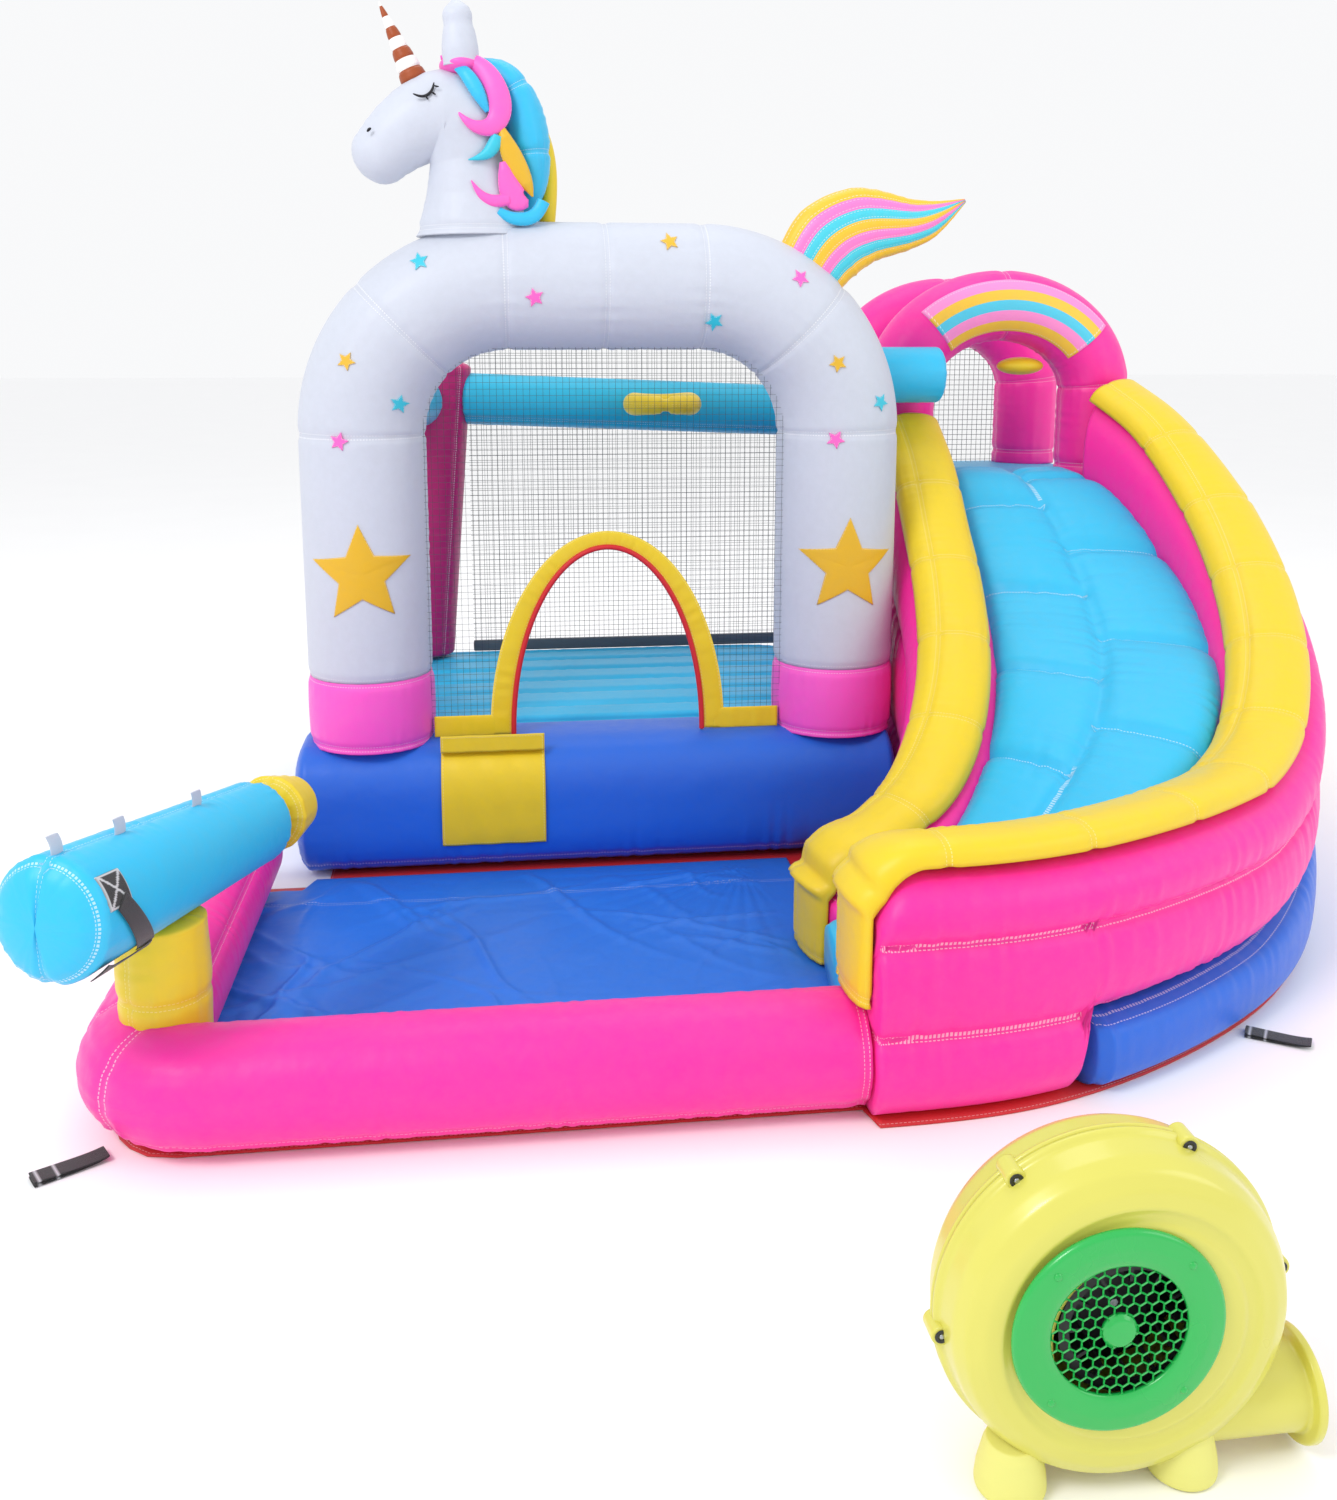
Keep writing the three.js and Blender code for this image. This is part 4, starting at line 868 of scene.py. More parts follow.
def ball_grid(centre, size, rows=40, columns=56):
    """Ellipsoid: centre + size * (sin a cos b, sin a sin b, cos a)."""
    a = np.linspace(0.03, np.pi - 0.03, rows)[:, None]
    b = np.arange(columns) / columns * TURN
    unit_ball = np.stack([np.sin(a) * np.cos(b), np.sin(a) * np.sin(b), np.cos(a) + 0 * b], -1)
    return np.asarray(centre) + unit_ball * size


def unicorn_ears():
    """Two upright ears: turned pears with a waist, and a soft pink cuff round their foot."""
    pieces = []
    share = np.linspace(0, 1, 70)
    radius = np.interp(share, [0, 0.25, 0.5, 0.62, 0.8, 0.93, 1],
                       [0.052, 0.056, 0.05, 0.043, 0.046, 0.03, 0.004])
    radius = np.convolve(np.pad(radius, 4, mode="edge"), np.ones(9) / 9, mode="valid")
    for y in (-0.05, 0.05):
        path = np.stack([-0.412 - 0.012 * share ** 2, y + 0 * share, 2.42 + 0.183 * share], 1)
        grid = tube(path, Y, radius, sides=64, flatten=0.86)
        grid, values = puffed(grid, [lengthwise(grid, 0.0), lengthwise(grid, 0.5)], pinch=0.003,
                              ripple=0.0016,
                              pitch=0.025, reach=0.02)
        pieces.append(skin(f"ear_{y:+.2f}", grid, values=values))
    ears = merged("unicorn_ear_pair", pieces)
    finish(ears, WHITE, "white_fabric", "unicorn_ears", fill=0.8)
    cuff = skin("unicorn_ear_cuff", ball_grid((-0.41, 0, 2.428), np.array([0.066, 0.1, 0.034])))
    finish(cuff, ROSE, "rainbow_fabric")


def unicorn_horn():
    """Cone along its leaning axis, nipped in between its seven bands."""
    foot, tip = np.array([-0.548, 0, 2.388]), np.array([-0.643, 0, 2.602])
    share = np.linspace(0, 1, 120)
    path = foot + (tip - foot) * share[:, None]
    radius = 0.0395 * (1 - share) ** 0.92 + 0.002
    bands = share * 7.4
    radius = radius * (1 - 0.10 * np.abs(np.cos(np.pi * bands)) ** 10)
    grid = tube(path, Y, radius, sides=48)
    values = {"band": np.broadcast_to((np.floor(bands)[:, None] + 0.5) / 8, grid.shape[:2])}
    horn = skin("unicorn_horn_cloth", grid, values=values)
    finish(horn, HORN, "horn_fabric", "unicorn_horn", fill=0.9)


def stroke(name, path, radius, material, slot):
    """Thin raised line of thread or print along a path, tapered to both ends."""
    path = smooth_path(path, 40)
    share = np.linspace(0, 1, len(path))
    grid = tube(path, Y, radius * (0.25 + 0.75 * np.sin(np.pi * share) ** 0.5), sides=10)
    piece = skin(name, grid)
    finish(piece, material, slot)
    return piece


def unicorn_face():
    """Closed eye with lashes and a nostril, sewn on both cheeks."""
    for side, sign in (("near", -1), ("far", 1)):
        lid = [(-0.548, 2.332), (-0.52, 2.326), (-0.497, 2.34), (-0.488, 2.366)]
        cheek = sign * 0.1135
        stroke(f"eyelid_{side}", [(x, cheek * (1 - 0.03 * k), z) for k, (x, z) in enumerate(lid)], 0.0042,
               LACE,
               "webbing")
        lashes = [((-0.513, 2.328), (-0.505, 2.317)), ((-0.496, 2.339), (-0.483, 2.331)),
                  ((-0.489, 2.356), (-0.474, 2.353))]
        for number, (start, end) in enumerate(lashes, 1):
            middle = [(start[0] + end[0]) / 2, (start[1] + end[1]) / 2 - 0.001]
            points = [(start[0], cheek, start[1]), (middle[0], cheek, middle[1]),
                      (end[0], cheek * 0.99, end[1])]
            stroke(f"lash_{side}_{number}", points, 0.0026, LACE, "webbing")
        stroke(f"nostril_{side}", [(-0.682, sign * 0.0865, 2.229), (-0.676, sign * 0.0875, 2.236),
                                   (-0.67, sign * 0.088, 2.239)], 0.0042, LACE, "webbing")


def mane():
    """Locks swept along curved paths in the head's plane; each swells in its middle and tapers to its
    curl."""
    body = smooth_path([(-0.36, 0, 2.43), (-0.29, 0, 2.40), (-0.235, 0, 2.3), (-0.212, 0, 2.18),
                        (-0.215, 0, 2.07),
                        (-0.25, 0, 2.01)], 140)
    share = np.linspace(0, 1, 140)
    radius = 0.062 * np.sin(np.pi * np.clip(share * 0.93 + 0.06, 0, 1)) ** 0.6
    grid = tube(body, Y, radius, domes=(0.01, 0.012), sides=72, flatten=1.35)
    seams = [lengthwise(grid, 0.02), ringwise(grid, 0.28), ringwise(grid, 0.62)]
    core = inflated("mane_core", grid, seams, pinch=0.005, ripple=0.003, pitch=0.035, reach=0.04)
    finish(core, CYAN, "rainbow_fabric", "unicorn_mane", fill=0.85)
    ridge = smooth_path([(-0.215, 0.05, 2.33), (-0.166, 0.052, 2.2), (-0.158, 0.052, 2.08),
                         (-0.165, 0.05, 1.995)], 60)
    spine = inflated("mane_spine", tube(ridge, Y, 0.024, domes=(0.02, 0.012), sides=32), ())
    finish(spine, YELLOW, "rainbow_fabric")
    locks = [
        ("cyan_brow", CYAN, [(-0.462, 2.441, 0.003), (-0.408, 2.405, 0.018), (-0.367, 2.346, 0.022),
                             (-0.338, 2.288, 0.008)]),
        ("cyan_curl", TEAL, [(-0.31, 2.222, 0.02), (-0.333, 2.18, 0.02), (-0.362, 2.162, 0.011),
                             (-0.396, 2.153, 0.002)]),
        ("pink_low", ROSE, [(-0.296, 2.15, 0.012), (-0.284, 2.095, 0.03), (-0.259, 2.045, 0.035),
                            (-0.225, 2.035, 0.012)]),
        ("pink_curl", ROSE, [(-0.28, 2.045, 0.018), (-0.333, 2.041, 0.018), (-0.367, 2.063, 0.011),
                             (-0.389, 2.096, 0.002)]),
        ("gold_lock", GOLD, [(-0.299, 2.245, 0.01), (-0.28, 2.188, 0.028), (-0.25, 2.126, 0.03),
                             (-0.226, 2.085, 0.018), (-0.212, 2.054, 0.003)]),
        ("pink_top", ROSE, [(-0.47, 2.446, 0.006), (-0.425, 2.447, 0.014), (-0.358, 2.418, 0.027),
                            (-0.309, 2.346, 0.033), (-0.304, 2.281, 0.033), (-0.333, 2.246, 0.027),
                            (-0.383, 2.25, 0.016), (-0.426, 2.29, 0.002)]),
        ("cyan_foot", CYAN, [(-0.312, 2.012, 0.012), (-0.271, 1.992, 0.019), (-0.213, 1.998, 0.021),
                             (-0.18, 2.043, 0.02)]),
    ]
    for layer, (name, material, stops) in enumerate(locks):
        for side, sign in (("near", -1), ("far", 1)):
            line = smooth_path([(x, z, half) for x, z, half in stops], 80)
            cheek = np.interp(line[:, 0], [-0.49, -0.4, -0.33, -0.25, -0.18],
                              [0.085, 0.112, 0.102, 0.094, 0.078])
            cheek *= np.sqrt(np.clip(1 - (np.maximum(line[:, 1] - 2.3, 0) / 0.157) ** 2, 0.06, 1))
            path = np.stack([line[:, 0], sign * (cheek + 0.0008 * layer), line[:, 1]], 1)
            wide = np.maximum(line[:, 2], 0.002)[:, None]
            grid = swept(path, Y, *oval(wide, np.minimum(wide * 0.8, 0.016), 48))
            seams = [lengthwise(grid, 0.0), lengthwise(grid, 0.5)]
            lock = inflated(f"mane_{name}_{side}", grid, seams, pinch=0.001, width=0.006, ripple=0.0006,
                            pitch=0.022,
                            reach=0.014)
            finish(lock, material, "rainbow_fabric")


def tail():
    """Flame-shaped chamber: its section is widest near the arch, and its stripes run along it by height."""
    path = smooth_path([(0.64, 0, 1.85), (0.70, 0, 1.935), (0.80, 0, 1.985), (0.905, 0, 1.993),
                        (1.01, 0, 2.01),
                        (1.105, 0, 2.055), (1.128, 0, 2.067)], 180)
    share = np.linspace(0, 1, 180)
    wide = np.interp(share, [0, 0.18, 0.38, 0.58, 0.78, 0.93, 1],
                     [0.118, 0.134, 0.124, 0.094, 0.062, 0.026, 0.008])
    thick = np.interp(share, [0, 0.2, 0.6, 0.85, 1], [0.055, 0.066, 0.056, 0.036, 0.008])
    grid = swept(path, Y, *oval(wide[:, None], thick[:, None], 96), domes=(0.02, 0.004))
    run, girth = lengths(grid)
    turn = np.arange(96) / 96 * TURN
    height = (1 - np.cos(turn)) / 2
    band = np.clip(height, 0.01, 0.985)
    sewn = np.abs((height * 7 + 0.5) % 1 - 0.5) / 7 * 0.24
    sewn = np.broadcast_to(np.maximum(sewn, 0.0), grid.shape[:2])
    grid, values = puffed(grid, [(sewn, np.broadcast_to(run[:, None], grid.shape[:2]))], pinch=0.003,
                          ripple=0.003,
                          pitch=0.05, reach=0.03)
    values["band"] = np.broadcast_to(band, grid.shape[:2])
    piece = skin("unicorn_tail_skin", grid, values=values)
    finish(piece, TAIL_CLOTH, "rainbow_fabric", "unicorn_tail", fill=0.85)


# ---- pool ----
POOL_TUBE, POOL_LEFT, POOL_FRONT, POOL_RIGHT = 0.125, -1.12, -1.578, 0.43


def pool_walls():
    """One round tube down the left side, round the corner and along the front, sewn from four panels."""
    bend = 0.169
    turn = np.linspace(0, np.pi / 2, 30)
    corner = np.stack([POOL_LEFT + bend - bend * np.cos(turn), POOL_FRONT + bend - bend * np.sin(turn)], 1)
    plan = np.concatenate([[[POOL_LEFT, -0.24]], corner, [[POOL_RIGHT - 0.012, POOL_FRONT]]])
    path = spaced(np.column_stack([plan, np.full(len(plan), 0.1318)]), step=0.008)
    grid = tube(path, Z, POOL_TUBE, domes=(0.02, 0.0), sides=104)
    whole = lengths(grid)[0][-1]
    left = -0.24 - POOL_FRONT - bend
    shares = [0.035 / whole, left / whole, (left + 0.13) / whole, (left + 0.265) / whole, 0.996]
    seams = [lengthwise(grid, 0.40), lengthwise(grid, 0.88)] + [ringwise(grid, share) for share in shares]
    wall = inflated("pool_wall", grid, seams, pinch=0.0055, ripple=0.0036, pitch=0.05, reach=0.055)
    finish(wall, PINK, "pink_fabric", "pool_wall_left", "pool_wall_front", fill=0.9)


def pool_floor():
    """Loose sheet inside the basin: z = 10 mm plus long soft folds, with one seam across it near the
    bolster."""
    x, y = np.meshgrid(np.linspace(-1.06, 0.56, 236), np.linspace(-1.5, -0.165, 180), indexing="ij")
    far_edge = -0.165 - 0.085 * np.clip((-0.91 - x) / 0.03, 0, 1)
    y = -1.5 + (y + 1.5) / 1.335 * (far_edge + 1.5)
    folds = creases(x, y, 11, 46, (-1.1, -1.5), (0.6, -0.2), 0.011, 0.016)
    radiating = 0.006 * np.sin(26 * np.arctan2(y + 1.5, x + 1.0)) * np.exp(-np.hypot(x + 1.0, y + 1.5) / 0.5)
    radiating += 0.006 * np.sin(22 * np.arctan2(y + 0.25, x - 0.4)) * np.exp(-np.hypot(x - 0.4, y + 0.25)
                                                                             / 0.5)
    seam = np.abs(y + 0.36 - 0.012 * np.sin(3 * x))
    calm = np.clip((-0.19 - y) / 0.06, 0, 1) * np.clip((0.46 - x) / 0.08, 0, 1)
    z = 0.0085 + (np.abs(folds)
                  + np.abs(radiating)) * calm - 0.003 * np.exp(-(seam / 0.01) ** 2) * (folds > 0.003)
    grid = np.stack([x, y, z], -1)
    sheet = skin("pool_floor_sheet", grid, closed=False, facing=Z, values={"seam": seam, "seam_run": x})
    thick = sheet.modifiers.new("thickness", "SOLIDIFY")
    thick.thickness = 0.0015
    thick.offset = 0
    finish(sheet, POOL_BLUE, "blue_fabric", "pool_floor")


# ---- slide ----
GROUND = 0.0065
WALL_HALF, CAP_RISE, BED_DEEP = 0.122, 0.07, 0.17
STATIONS = 300
SHARE = np.linspace(0, 1, STATIONS)
INNER_LINE = spaced(smooth_path([(1.08, 0.372), (1.08, 0.06), (1.05, -0.23), (0.96, -0.53), (0.77, -0.775),
                                 (0.5, -0.852)]), count=STATIONS)
OUTER_LINE = spaced(smooth_path([(1.812, 0.338), (1.912, 0.06), (1.928, -0.35), (1.778, -0.815),
                                 (1.446, -1.208),
                                 (0.935, -1.5), (0.65, -1.568), (0.43, -1.578)]), count=STATIONS)


def levels(table):
    """Heights along the slide from the tower (0) to its exit (1), rounded off between the given ones."""
    shares, values = np.array(table).T
    line = np.interp(SHARE, shares, values)
    half = 14
    padded = np.concatenate([2 * line[0] - line[half:0:-1], line, 2 * line[-1] - line[-2:-half - 2:-1]])
    weights = np.hanning(2 * half + 3)[1:-1]
    return np.convolve(padded, weights / weights.sum(), mode="valid")


INNER_TOP = levels([(0, 1.408), (0.11, 1.29), (0.24, 1.08), (0.43, 0.86), (0.56, 0.72), (0.78, 0.48),
                    (0.9, 0.375),
                    (1, 0.345)])
OUTER_TOP = levels([(0, 1.515), (0.065, 1.425), (0.16, 1.235), (0.27, 1.03), (0.38, 0.85), (0.51, 0.665),
                    (0.6, 0.612),
                    (1, 0.612)])
SKIRT_TOP = levels([(0, 0.76), (0.3, 0.48), (0.5, 0.26), (0.62, 0.195), (0.76, 0.182), (1, 0.182)])
BED_TOP = levels([(0, 1.192), (0.05, 1.18), (0.19, 0.96), (0.32, 0.8), (0.46, 0.675), (0.56, 0.575),
                  (0.66, 0.48),
                  (0.85, 0.27), (1, 0.15)])
INNER_FOOT = levels([(0, 0.125), (0.3, 0.15), (0.7, 0.15), (1, 0.12)])
OUTER_FOOT = levels([(0, 0.13), (0.15, 0.23), (0.3, 0.25), (0.45, 0.18), (0.6, 0.13), (1, 0.12)])
SKIRT_END = 0.835


def bed_side(foot, top, z):
    """Half thickness of a wall towards the bed: half + (foot - half) * (1 - h) ** 1.3 at the share h of its
    height, so that it spreads where it stands."""
    rise = np.clip((z - GROUND) / (top - CAP_RISE - GROUND), 0, 1)
    return WALL_HALF + (foot - WALL_HALF) * (1 - rise) ** 1.3


def wall_grid(line, low, high, foot, top, side, columns=150, parts=(0.36, 0.74)):
    """Sections |a / half| ** 5 + |h| ** 5 = 1 from low to high, spread towards the bed by bed_side,
    swollen by 0.026 * sin(pi * p) ** 0.6 between the long seams and drawn in under the coping."""
    ox, oy = oval(1.0, 1.0, columns, 5.0)
    middle, reach = (low + high)[:, None] / 2, (high - low)[:, None] / 2
    z = middle + reach * oy
    inward = bed_side(foot[:, None], top[:, None], z)
    rise = (z - GROUND) / (top - CAP_RISE - GROUND)[:, None]
    phase = np.interp(rise, (0, *parts, 1), np.arange(len(parts) + 2)) % 1
    swell = 0.028 * np.sin(np.pi * phase) ** 0.6 - 0.008
    drawn = 0.026 * np.clip((rise - 0.93) / 0.07, 0, 1) ** 2
    across = np.where(ox > 0, ox * inward, ox * WALL_HALF) + power_of(ox, 3) * (swell - drawn)
    path = np.column_stack([line, np.zeros(len(line))])
    return swept(path, Z, side * across, z, domes=(0.0, 0.014), dome_rows=4)


def with_dome(values, rows):
    """Repeats the last row's value over the rows that the dome at the end adds."""
    return np.concatenate([values, np.full(rows - len(values), values[-1])])


def slide_walls():
    """Two tall chambers that curve down to the pool. The outer one stands on a blue foot for most of its
    way."""
    inner_crest = INNER_TOP - CAP_RISE - end_drop(INNER_LINE)
    inner = wall_grid(INNER_LINE, np.full(STATIONS, GROUND), inner_crest, INNER_FOOT, INNER_TOP, -1)
    rows = len(inner)
    ends = [ringwise(inner, 0.988)]
    long_ones = [at_level(inner, with_dome((INNER_TOP - CAP_RISE - GROUND) * part + GROUND, rows))
                 for part in (0.36, 0.74)]
    wall = inflated("slide_inner_wall", inner, long_ones + ends, pinch=0.007, ripple=0.0042, pitch=0.055,
                    reach=0.07)
    finish(wall, PINK, "pink_fabric", "slide_wall_inner", fill=0.9)

    blend = np.clip((SHARE - SKIRT_END) / 0.012, 0, 1)
    low = SKIRT_TOP * (1 - blend) + GROUND * blend
    outer_crest = OUTER_TOP - CAP_RISE - end_drop(OUTER_LINE)
    outer = wall_grid(OUTER_LINE, low, outer_crest, OUTER_FOOT, OUTER_TOP, 1, columns=170)
    rows = len(outer)
    height = OUTER_TOP - CAP_RISE - GROUND
    long_ones = [at_level(outer, with_dome(GROUND + height * part, rows)) for part in (0.36, 0.74)]
    ends = [ringwise(outer, 0.992)]
    wall = inflated("slide_outer_wall", outer, long_ones + ends, pinch=0.007, ripple=0.0045, pitch=0.055,
                    reach=0.075)
    finish(wall, PINK, "pink_fabric", "slide_wall_outer", fill=0.9)

    kept = SHARE < SKIRT_END - 0.004
    taper = np.clip((SKIRT_END - SHARE[kept]) / 0.012, 0.8, 1) ** 0.5
    path = np.column_stack([OUTER_LINE[kept], np.zeros(kept.sum())])
    ox, oy = oval(1.0, 1.0, 110, 5.0)
    top = SKIRT_TOP[kept] - 0.001
    z = (top + GROUND)[:, None] / 2 + (top - GROUND)[:, None] / 2 * oy
    inward = bed_side(OUTER_FOOT[kept][:, None], OUTER_TOP[kept][:, None], z)
    swell = 0.024 * np.sin(np.pi * np.clip(oy / 2 + 0.5, 0, 1)) ** 0.6
    across = (np.where(ox > 0, ox * inward, ox * (WALL_HALF + 0.002)) + power_of(ox, 3) * swell) * taper[:,
                                                                                                         None]
    grid = swept(path, Z, across, z, domes=(0, 0.01), dome_rows=4)
    seams = [at_level(grid, with_dome(SKIRT_TOP[kept] - 0.012, len(grid)))]
    skirt = inflated("slide_blue_foot", grid, seams, pinch=0.006, ripple=0.004, pitch=0.06, reach=0.06)
    finish(skirt, BLUE, "blue_fabric", "slide_skirt", fill=0.9)


END_ROUND = 0.09
CAP_HALF = 0.108
OUTER_LEAN = 0.22


def end_drop(line):
    """How far a wall's top falls towards its exit end: a quarter circle of radius END_ROUND, kept off
    upright."""
    run = np.concatenate([[0], np.cumsum(np.linalg.norm(np.diff(line, axis=0), axis=1))])
    past = np.clip(run - (run[-1] - END_ROUND), 0, END_ROUND * 0.97)
    return END_ROUND - np.sqrt(END_ROUND ** 2 - past ** 2)


def slide_cap(name, line, top, low, node, lean=0.0):
    """Padded coping that runs down a wall's top, over its end and down the end face. Its section is
    rise * sin(t) ** 0.7 over half a turn, gathered every 0.3 m; the rise halves on the end face."""
    turn = np.linspace(0, np.pi, 44)
    across = np.concatenate([np.cos(turn), np.linspace(-0.94, 0.94, 16)]) * CAP_HALF + lean * 0.06
    rise = np.concatenate([np.sin(turn) ** 0.72, np.zeros(16)])
    crest = top - CAP_RISE + 0.001 - end_drop(line)
    over = np.column_stack([line, crest])
    spot = line[-1] + unit(line[-1] - line[-4]) * 0.014
    down = np.array([[*spot, z] for z in np.linspace(crest[-1] - 0.012, low, 60)])
    path = spaced(np.concatenate([over[:-1], down]), step=0.008)
    plan = np.gradient(path[:, :2], axis=0)
    flat = np.linalg.norm(plan, axis=1)
    upright = flat < 0.0012
    plan[upright] = (line[-1] - line[-4])
    side = unit(np.column_stack([plan[:, 1], -plan[:, 0], np.zeros(len(path))]))
    tangent = unit(np.gradient(path, axis=0))
    out = np.cross(side, tangent)
    weights = np.ones(9) / 9
    out = unit(np.stack([np.convolve(np.pad(out[:, k], 4, mode="edge"), weights, mode="valid")
                         for k in range(3)], 1))
    tall = CAP_RISE * (1 - 0.5 * np.clip((-tangent[:, 2] - 0.75) / 0.25, 0, 1))
    tilted = lean * np.clip(1 + tangent[:, 2:] * 1.2, 0, 1)
    lift = tall[:, None] * rise - tilted * across
    grid = path[:, None] + side[:, None] * across[None, :, None] + out[:, None] * lift[..., None]
    whole = lengths(grid)[0][-1]
    seams = [ringwise(grid, share) for share in np.arange(0.32, whole - 0.3, 0.32) / whole]
    seams += [lengthwise(grid, 0.19), ringwise(grid, 0.995)]
    cap = inflated(name, grid, seams, pinch=0.004, ripple=0.0026, pitch=0.04, reach=0.035)
    finish(cap, YELLOW, "yellow_fabric", node, fill=0.85)


def slide_bed():
    """Sliding surface between the walls: quilted by a seam down its middle and by staggered seams across
    it."""
    columns = 150
    toward = unit(OUTER_LINE - INNER_LINE)
    level = BED_TOP - 0.03
    left = INNER_LINE + toward * (bed_side(INNER_FOOT, INNER_TOP, level) + 0.002)[:, None]
    right = OUTER_LINE - toward * (bed_side(OUTER_FOOT, OUTER_TOP, level) + 0.002)[:, None]
    low = np.maximum(GROUND + 0.012, BED_TOP - BED_DEEP)
    ox, oy = oval(1.0, 1.0, columns, 5.0)
    t = (ox + 1) / 2
    plan = left[:, None] * (1 - t)[:, None] + right[:, None] * t[:, None]
    z = (BED_TOP + low)[:, None] / 2 + (BED_TOP - low)[:, None] / 2 * oy
    on_top = np.clip(oy * 3, 0, 1)
    wide = np.linalg.norm(right - left, axis=1)[:, None]
    run = np.concatenate([[0], np.cumsum(np.linalg.norm(np.diff((left + right) / 2, axis=0), axis=1))])
    run = run[:, None] * 1.25
    middle = np.abs(t - 0.5) * wide
    across_left = np.min([np.abs(run - stop * run[-1]) for stop in (0.10, 0.27, 0.45, 0.63, 0.82)], axis=0)
    across_right = np.min([np.abs(run - stop * run[-1]) for stop in (0.04, 0.18, 0.36, 0.54, 0.73, 0.91)],
                          axis=0)
    across = np.where(t < 0.5, across_left, across_right)
    edge = np.minimum(t, 1 - t) * wide
    middle, across = np.broadcast_to(middle, z.shape), np.broadcast_to(across, z.shape)
    relief = -0.012 * np.exp(-(middle / 0.02) ** 2) - 0.016 * np.exp(-(across / 0.02) ** 2)
    relief = relief + 0.018 * (1 - np.exp(-across / 0.05)) * (1 - np.exp(-middle / 0.05))
    relief = relief + 0.0045 * wavy(run, 0.075, 2) * np.exp(-middle / 0.09)
    relief = relief + 0.004 * wavy(t * wide, 0.07, 4) * np.exp(-across / 0.07)
    relief = relief + 0.004 * wavy(run, 0.06, 7) * np.exp(-edge / 0.06) - 0.012 * np.exp(-(edge / 0.035) ** 2)
    z = z + relief * on_top
    grid = np.concatenate([plan, z[..., None]], axis=2)
    away = np.where(on_top > 0.5, np.minimum(middle, across), 9.0)
    stitches = np.where(middle < across, run, t * wide)
    bed = skin("slide_bed_skin", grid, values={"seam": away, "seam_run": stitches})
    finish(bed, CYAN, "cyan_fabric", "slide_bed", fill=0.9)


# ---- tower ----
TOWER_X, TOWER_HALF, TOWER_TUBE, TOWER_DECK = 1.446, 0.3585, 0.123, 1.15
TOWER_SPRING, TOWER_RISE = 1.46, 0.30


def tower():
    base = cushion("tower_blue_foot", (0.9685, 0.39, GROUND), (1.9275, 1.273, 0.699), swell=0.012, edge=0.05,
                   crown=0.0, corner=10, around=260)
    finish(base, BLUE, "blue_fabric", "tower_base", fill=0.85)
    block = cushion("tower_pink_chamber", (0.9685, 0.39, 0.7015), (1.9275, 1.273, 1.019), swell=0.014,
                    edge=0.045,
                    crown=0.0, corner=10, around=260)
    finish(block, PINK, "pink_fabric", "tower_block", fill=0.85)
    deck = cushion("tower_floor", (0.9685, 0.39, 1.021), (1.9275, 1.273, 1.149), swell=0.012, edge=0.035,
                   crown=0.004,
                   corner=10, around=260)
    finish(deck, CYAN, "cyan_fabric", "tower_deck", fill=0.85)
    for place, y in (("front", 0.513), ("back", 1.15)):
        path = spaced(arch_path(TOWER_HALF, TOWER_DECK + 0.001, TOWER_SPRING, TOWER_RISE, TOWER_HALF, y,
                                TOWER_X),
                      step=0.008)
        grid = tube(path, Y, TOWER_TUBE, sides=96)
        seams = [lengthwise(grid, 0.25), lengthwise(grid, 0.5)]
        seams += [ringwise(grid, share) for share in (0.03, 0.20, 0.5, 0.80, 0.97)]
        arch = inflated(f"tower_{place}_arch", grid, seams, pinch=0.005, ripple=0.003, pitch=0.05, reach=0.05)
        finish(arch, PINK, "pink_fabric", f"tower_arch_{place}", fill=0.9)
    pad = skin("tower_grab_pad", ball_grid((1.53, 0.513, 1.55), np.array([0.084, 0.056, 0.031])))
    finish(pad, YELLOW, "yellow_fabric", "grab_pad", fill=0.8)


def climbing_ramp():
    """Sloping pad on the tower's far side; its channels run across it every 0.16 m and carry sewn
    footholds."""
    side = np.array([[1.9335, GROUND], [2.41, GROUND], [2.432, 0.05], [2.405, 0.11], [2.018, 1.085],
                     [1.985, 1.115],
                     [1.935, 1.105]])
    outline = spaced(np.concatenate([side, side[:1]]), count=401)[:-1]
    depth = np.linspace(0, np.pi, 60)
    rows = []
    centre = outline.mean(axis=0)
    for angle in depth:
        shrink = 1 - 0.035 * (1 - np.sin(angle) ** 0.4)
        plan = centre + (outline - centre) * shrink
        rows.append(np.stack([plan[:, 0], np.full(400, 0.825 - 0.265 * np.cos(angle)), plan[:, 1]], 1))
    grid = np.array(rows)
    sloping = (outline[:, 0] > 1.99) & (outline[:, 1] > 0.09)
    channel = np.where(sloping, np.abs((outline[:, 1] / 0.165 + 0.4) % 1 - 0.5) * 0.165, 9.0)
    seams = [(np.broadcast_to(channel, grid.shape[:2]), grid[..., 1])]
    ramp = inflated("climbing_ramp", grid, seams, pinch=0.012, width=0.018, ripple=0.003, pitch=0.05,
                    reach=0.05)
    finish(ramp, YELLOW, "yellow_fabric", "climb_ramp", fill=0.85)
    slope = unit(np.array([2.018 - 2.405, 1.085 - 0.11]))
    out = np.array([slope[1], -slope[0]])
    for number, (up, y) in enumerate([(0.16, 0.72), (0.33, 0.93), (0.49, 0.72), (0.66, 0.93), (0.82, 0.72)],
                                     1):
        spot = np.array([2.405, 0.11]) + slope * up * 1.05 + out * 0.001
        hold = ball_grid((0, 0, 0), np.array([0.014, 0.075, 0.028]), 20, 32)
        turned = np.stack([hold[..., 0] * out[0] + hold[..., 2] * slope[0] + spot[0], hold[..., 1] + y,
                           hold[..., 0] * out[1] + hold[..., 2] * slope[1] + spot[1]], -1)
        piece = skin(f"foothold_{number}", turned)
        finish(piece, PINK, "pink_fabric", fill=0.8)


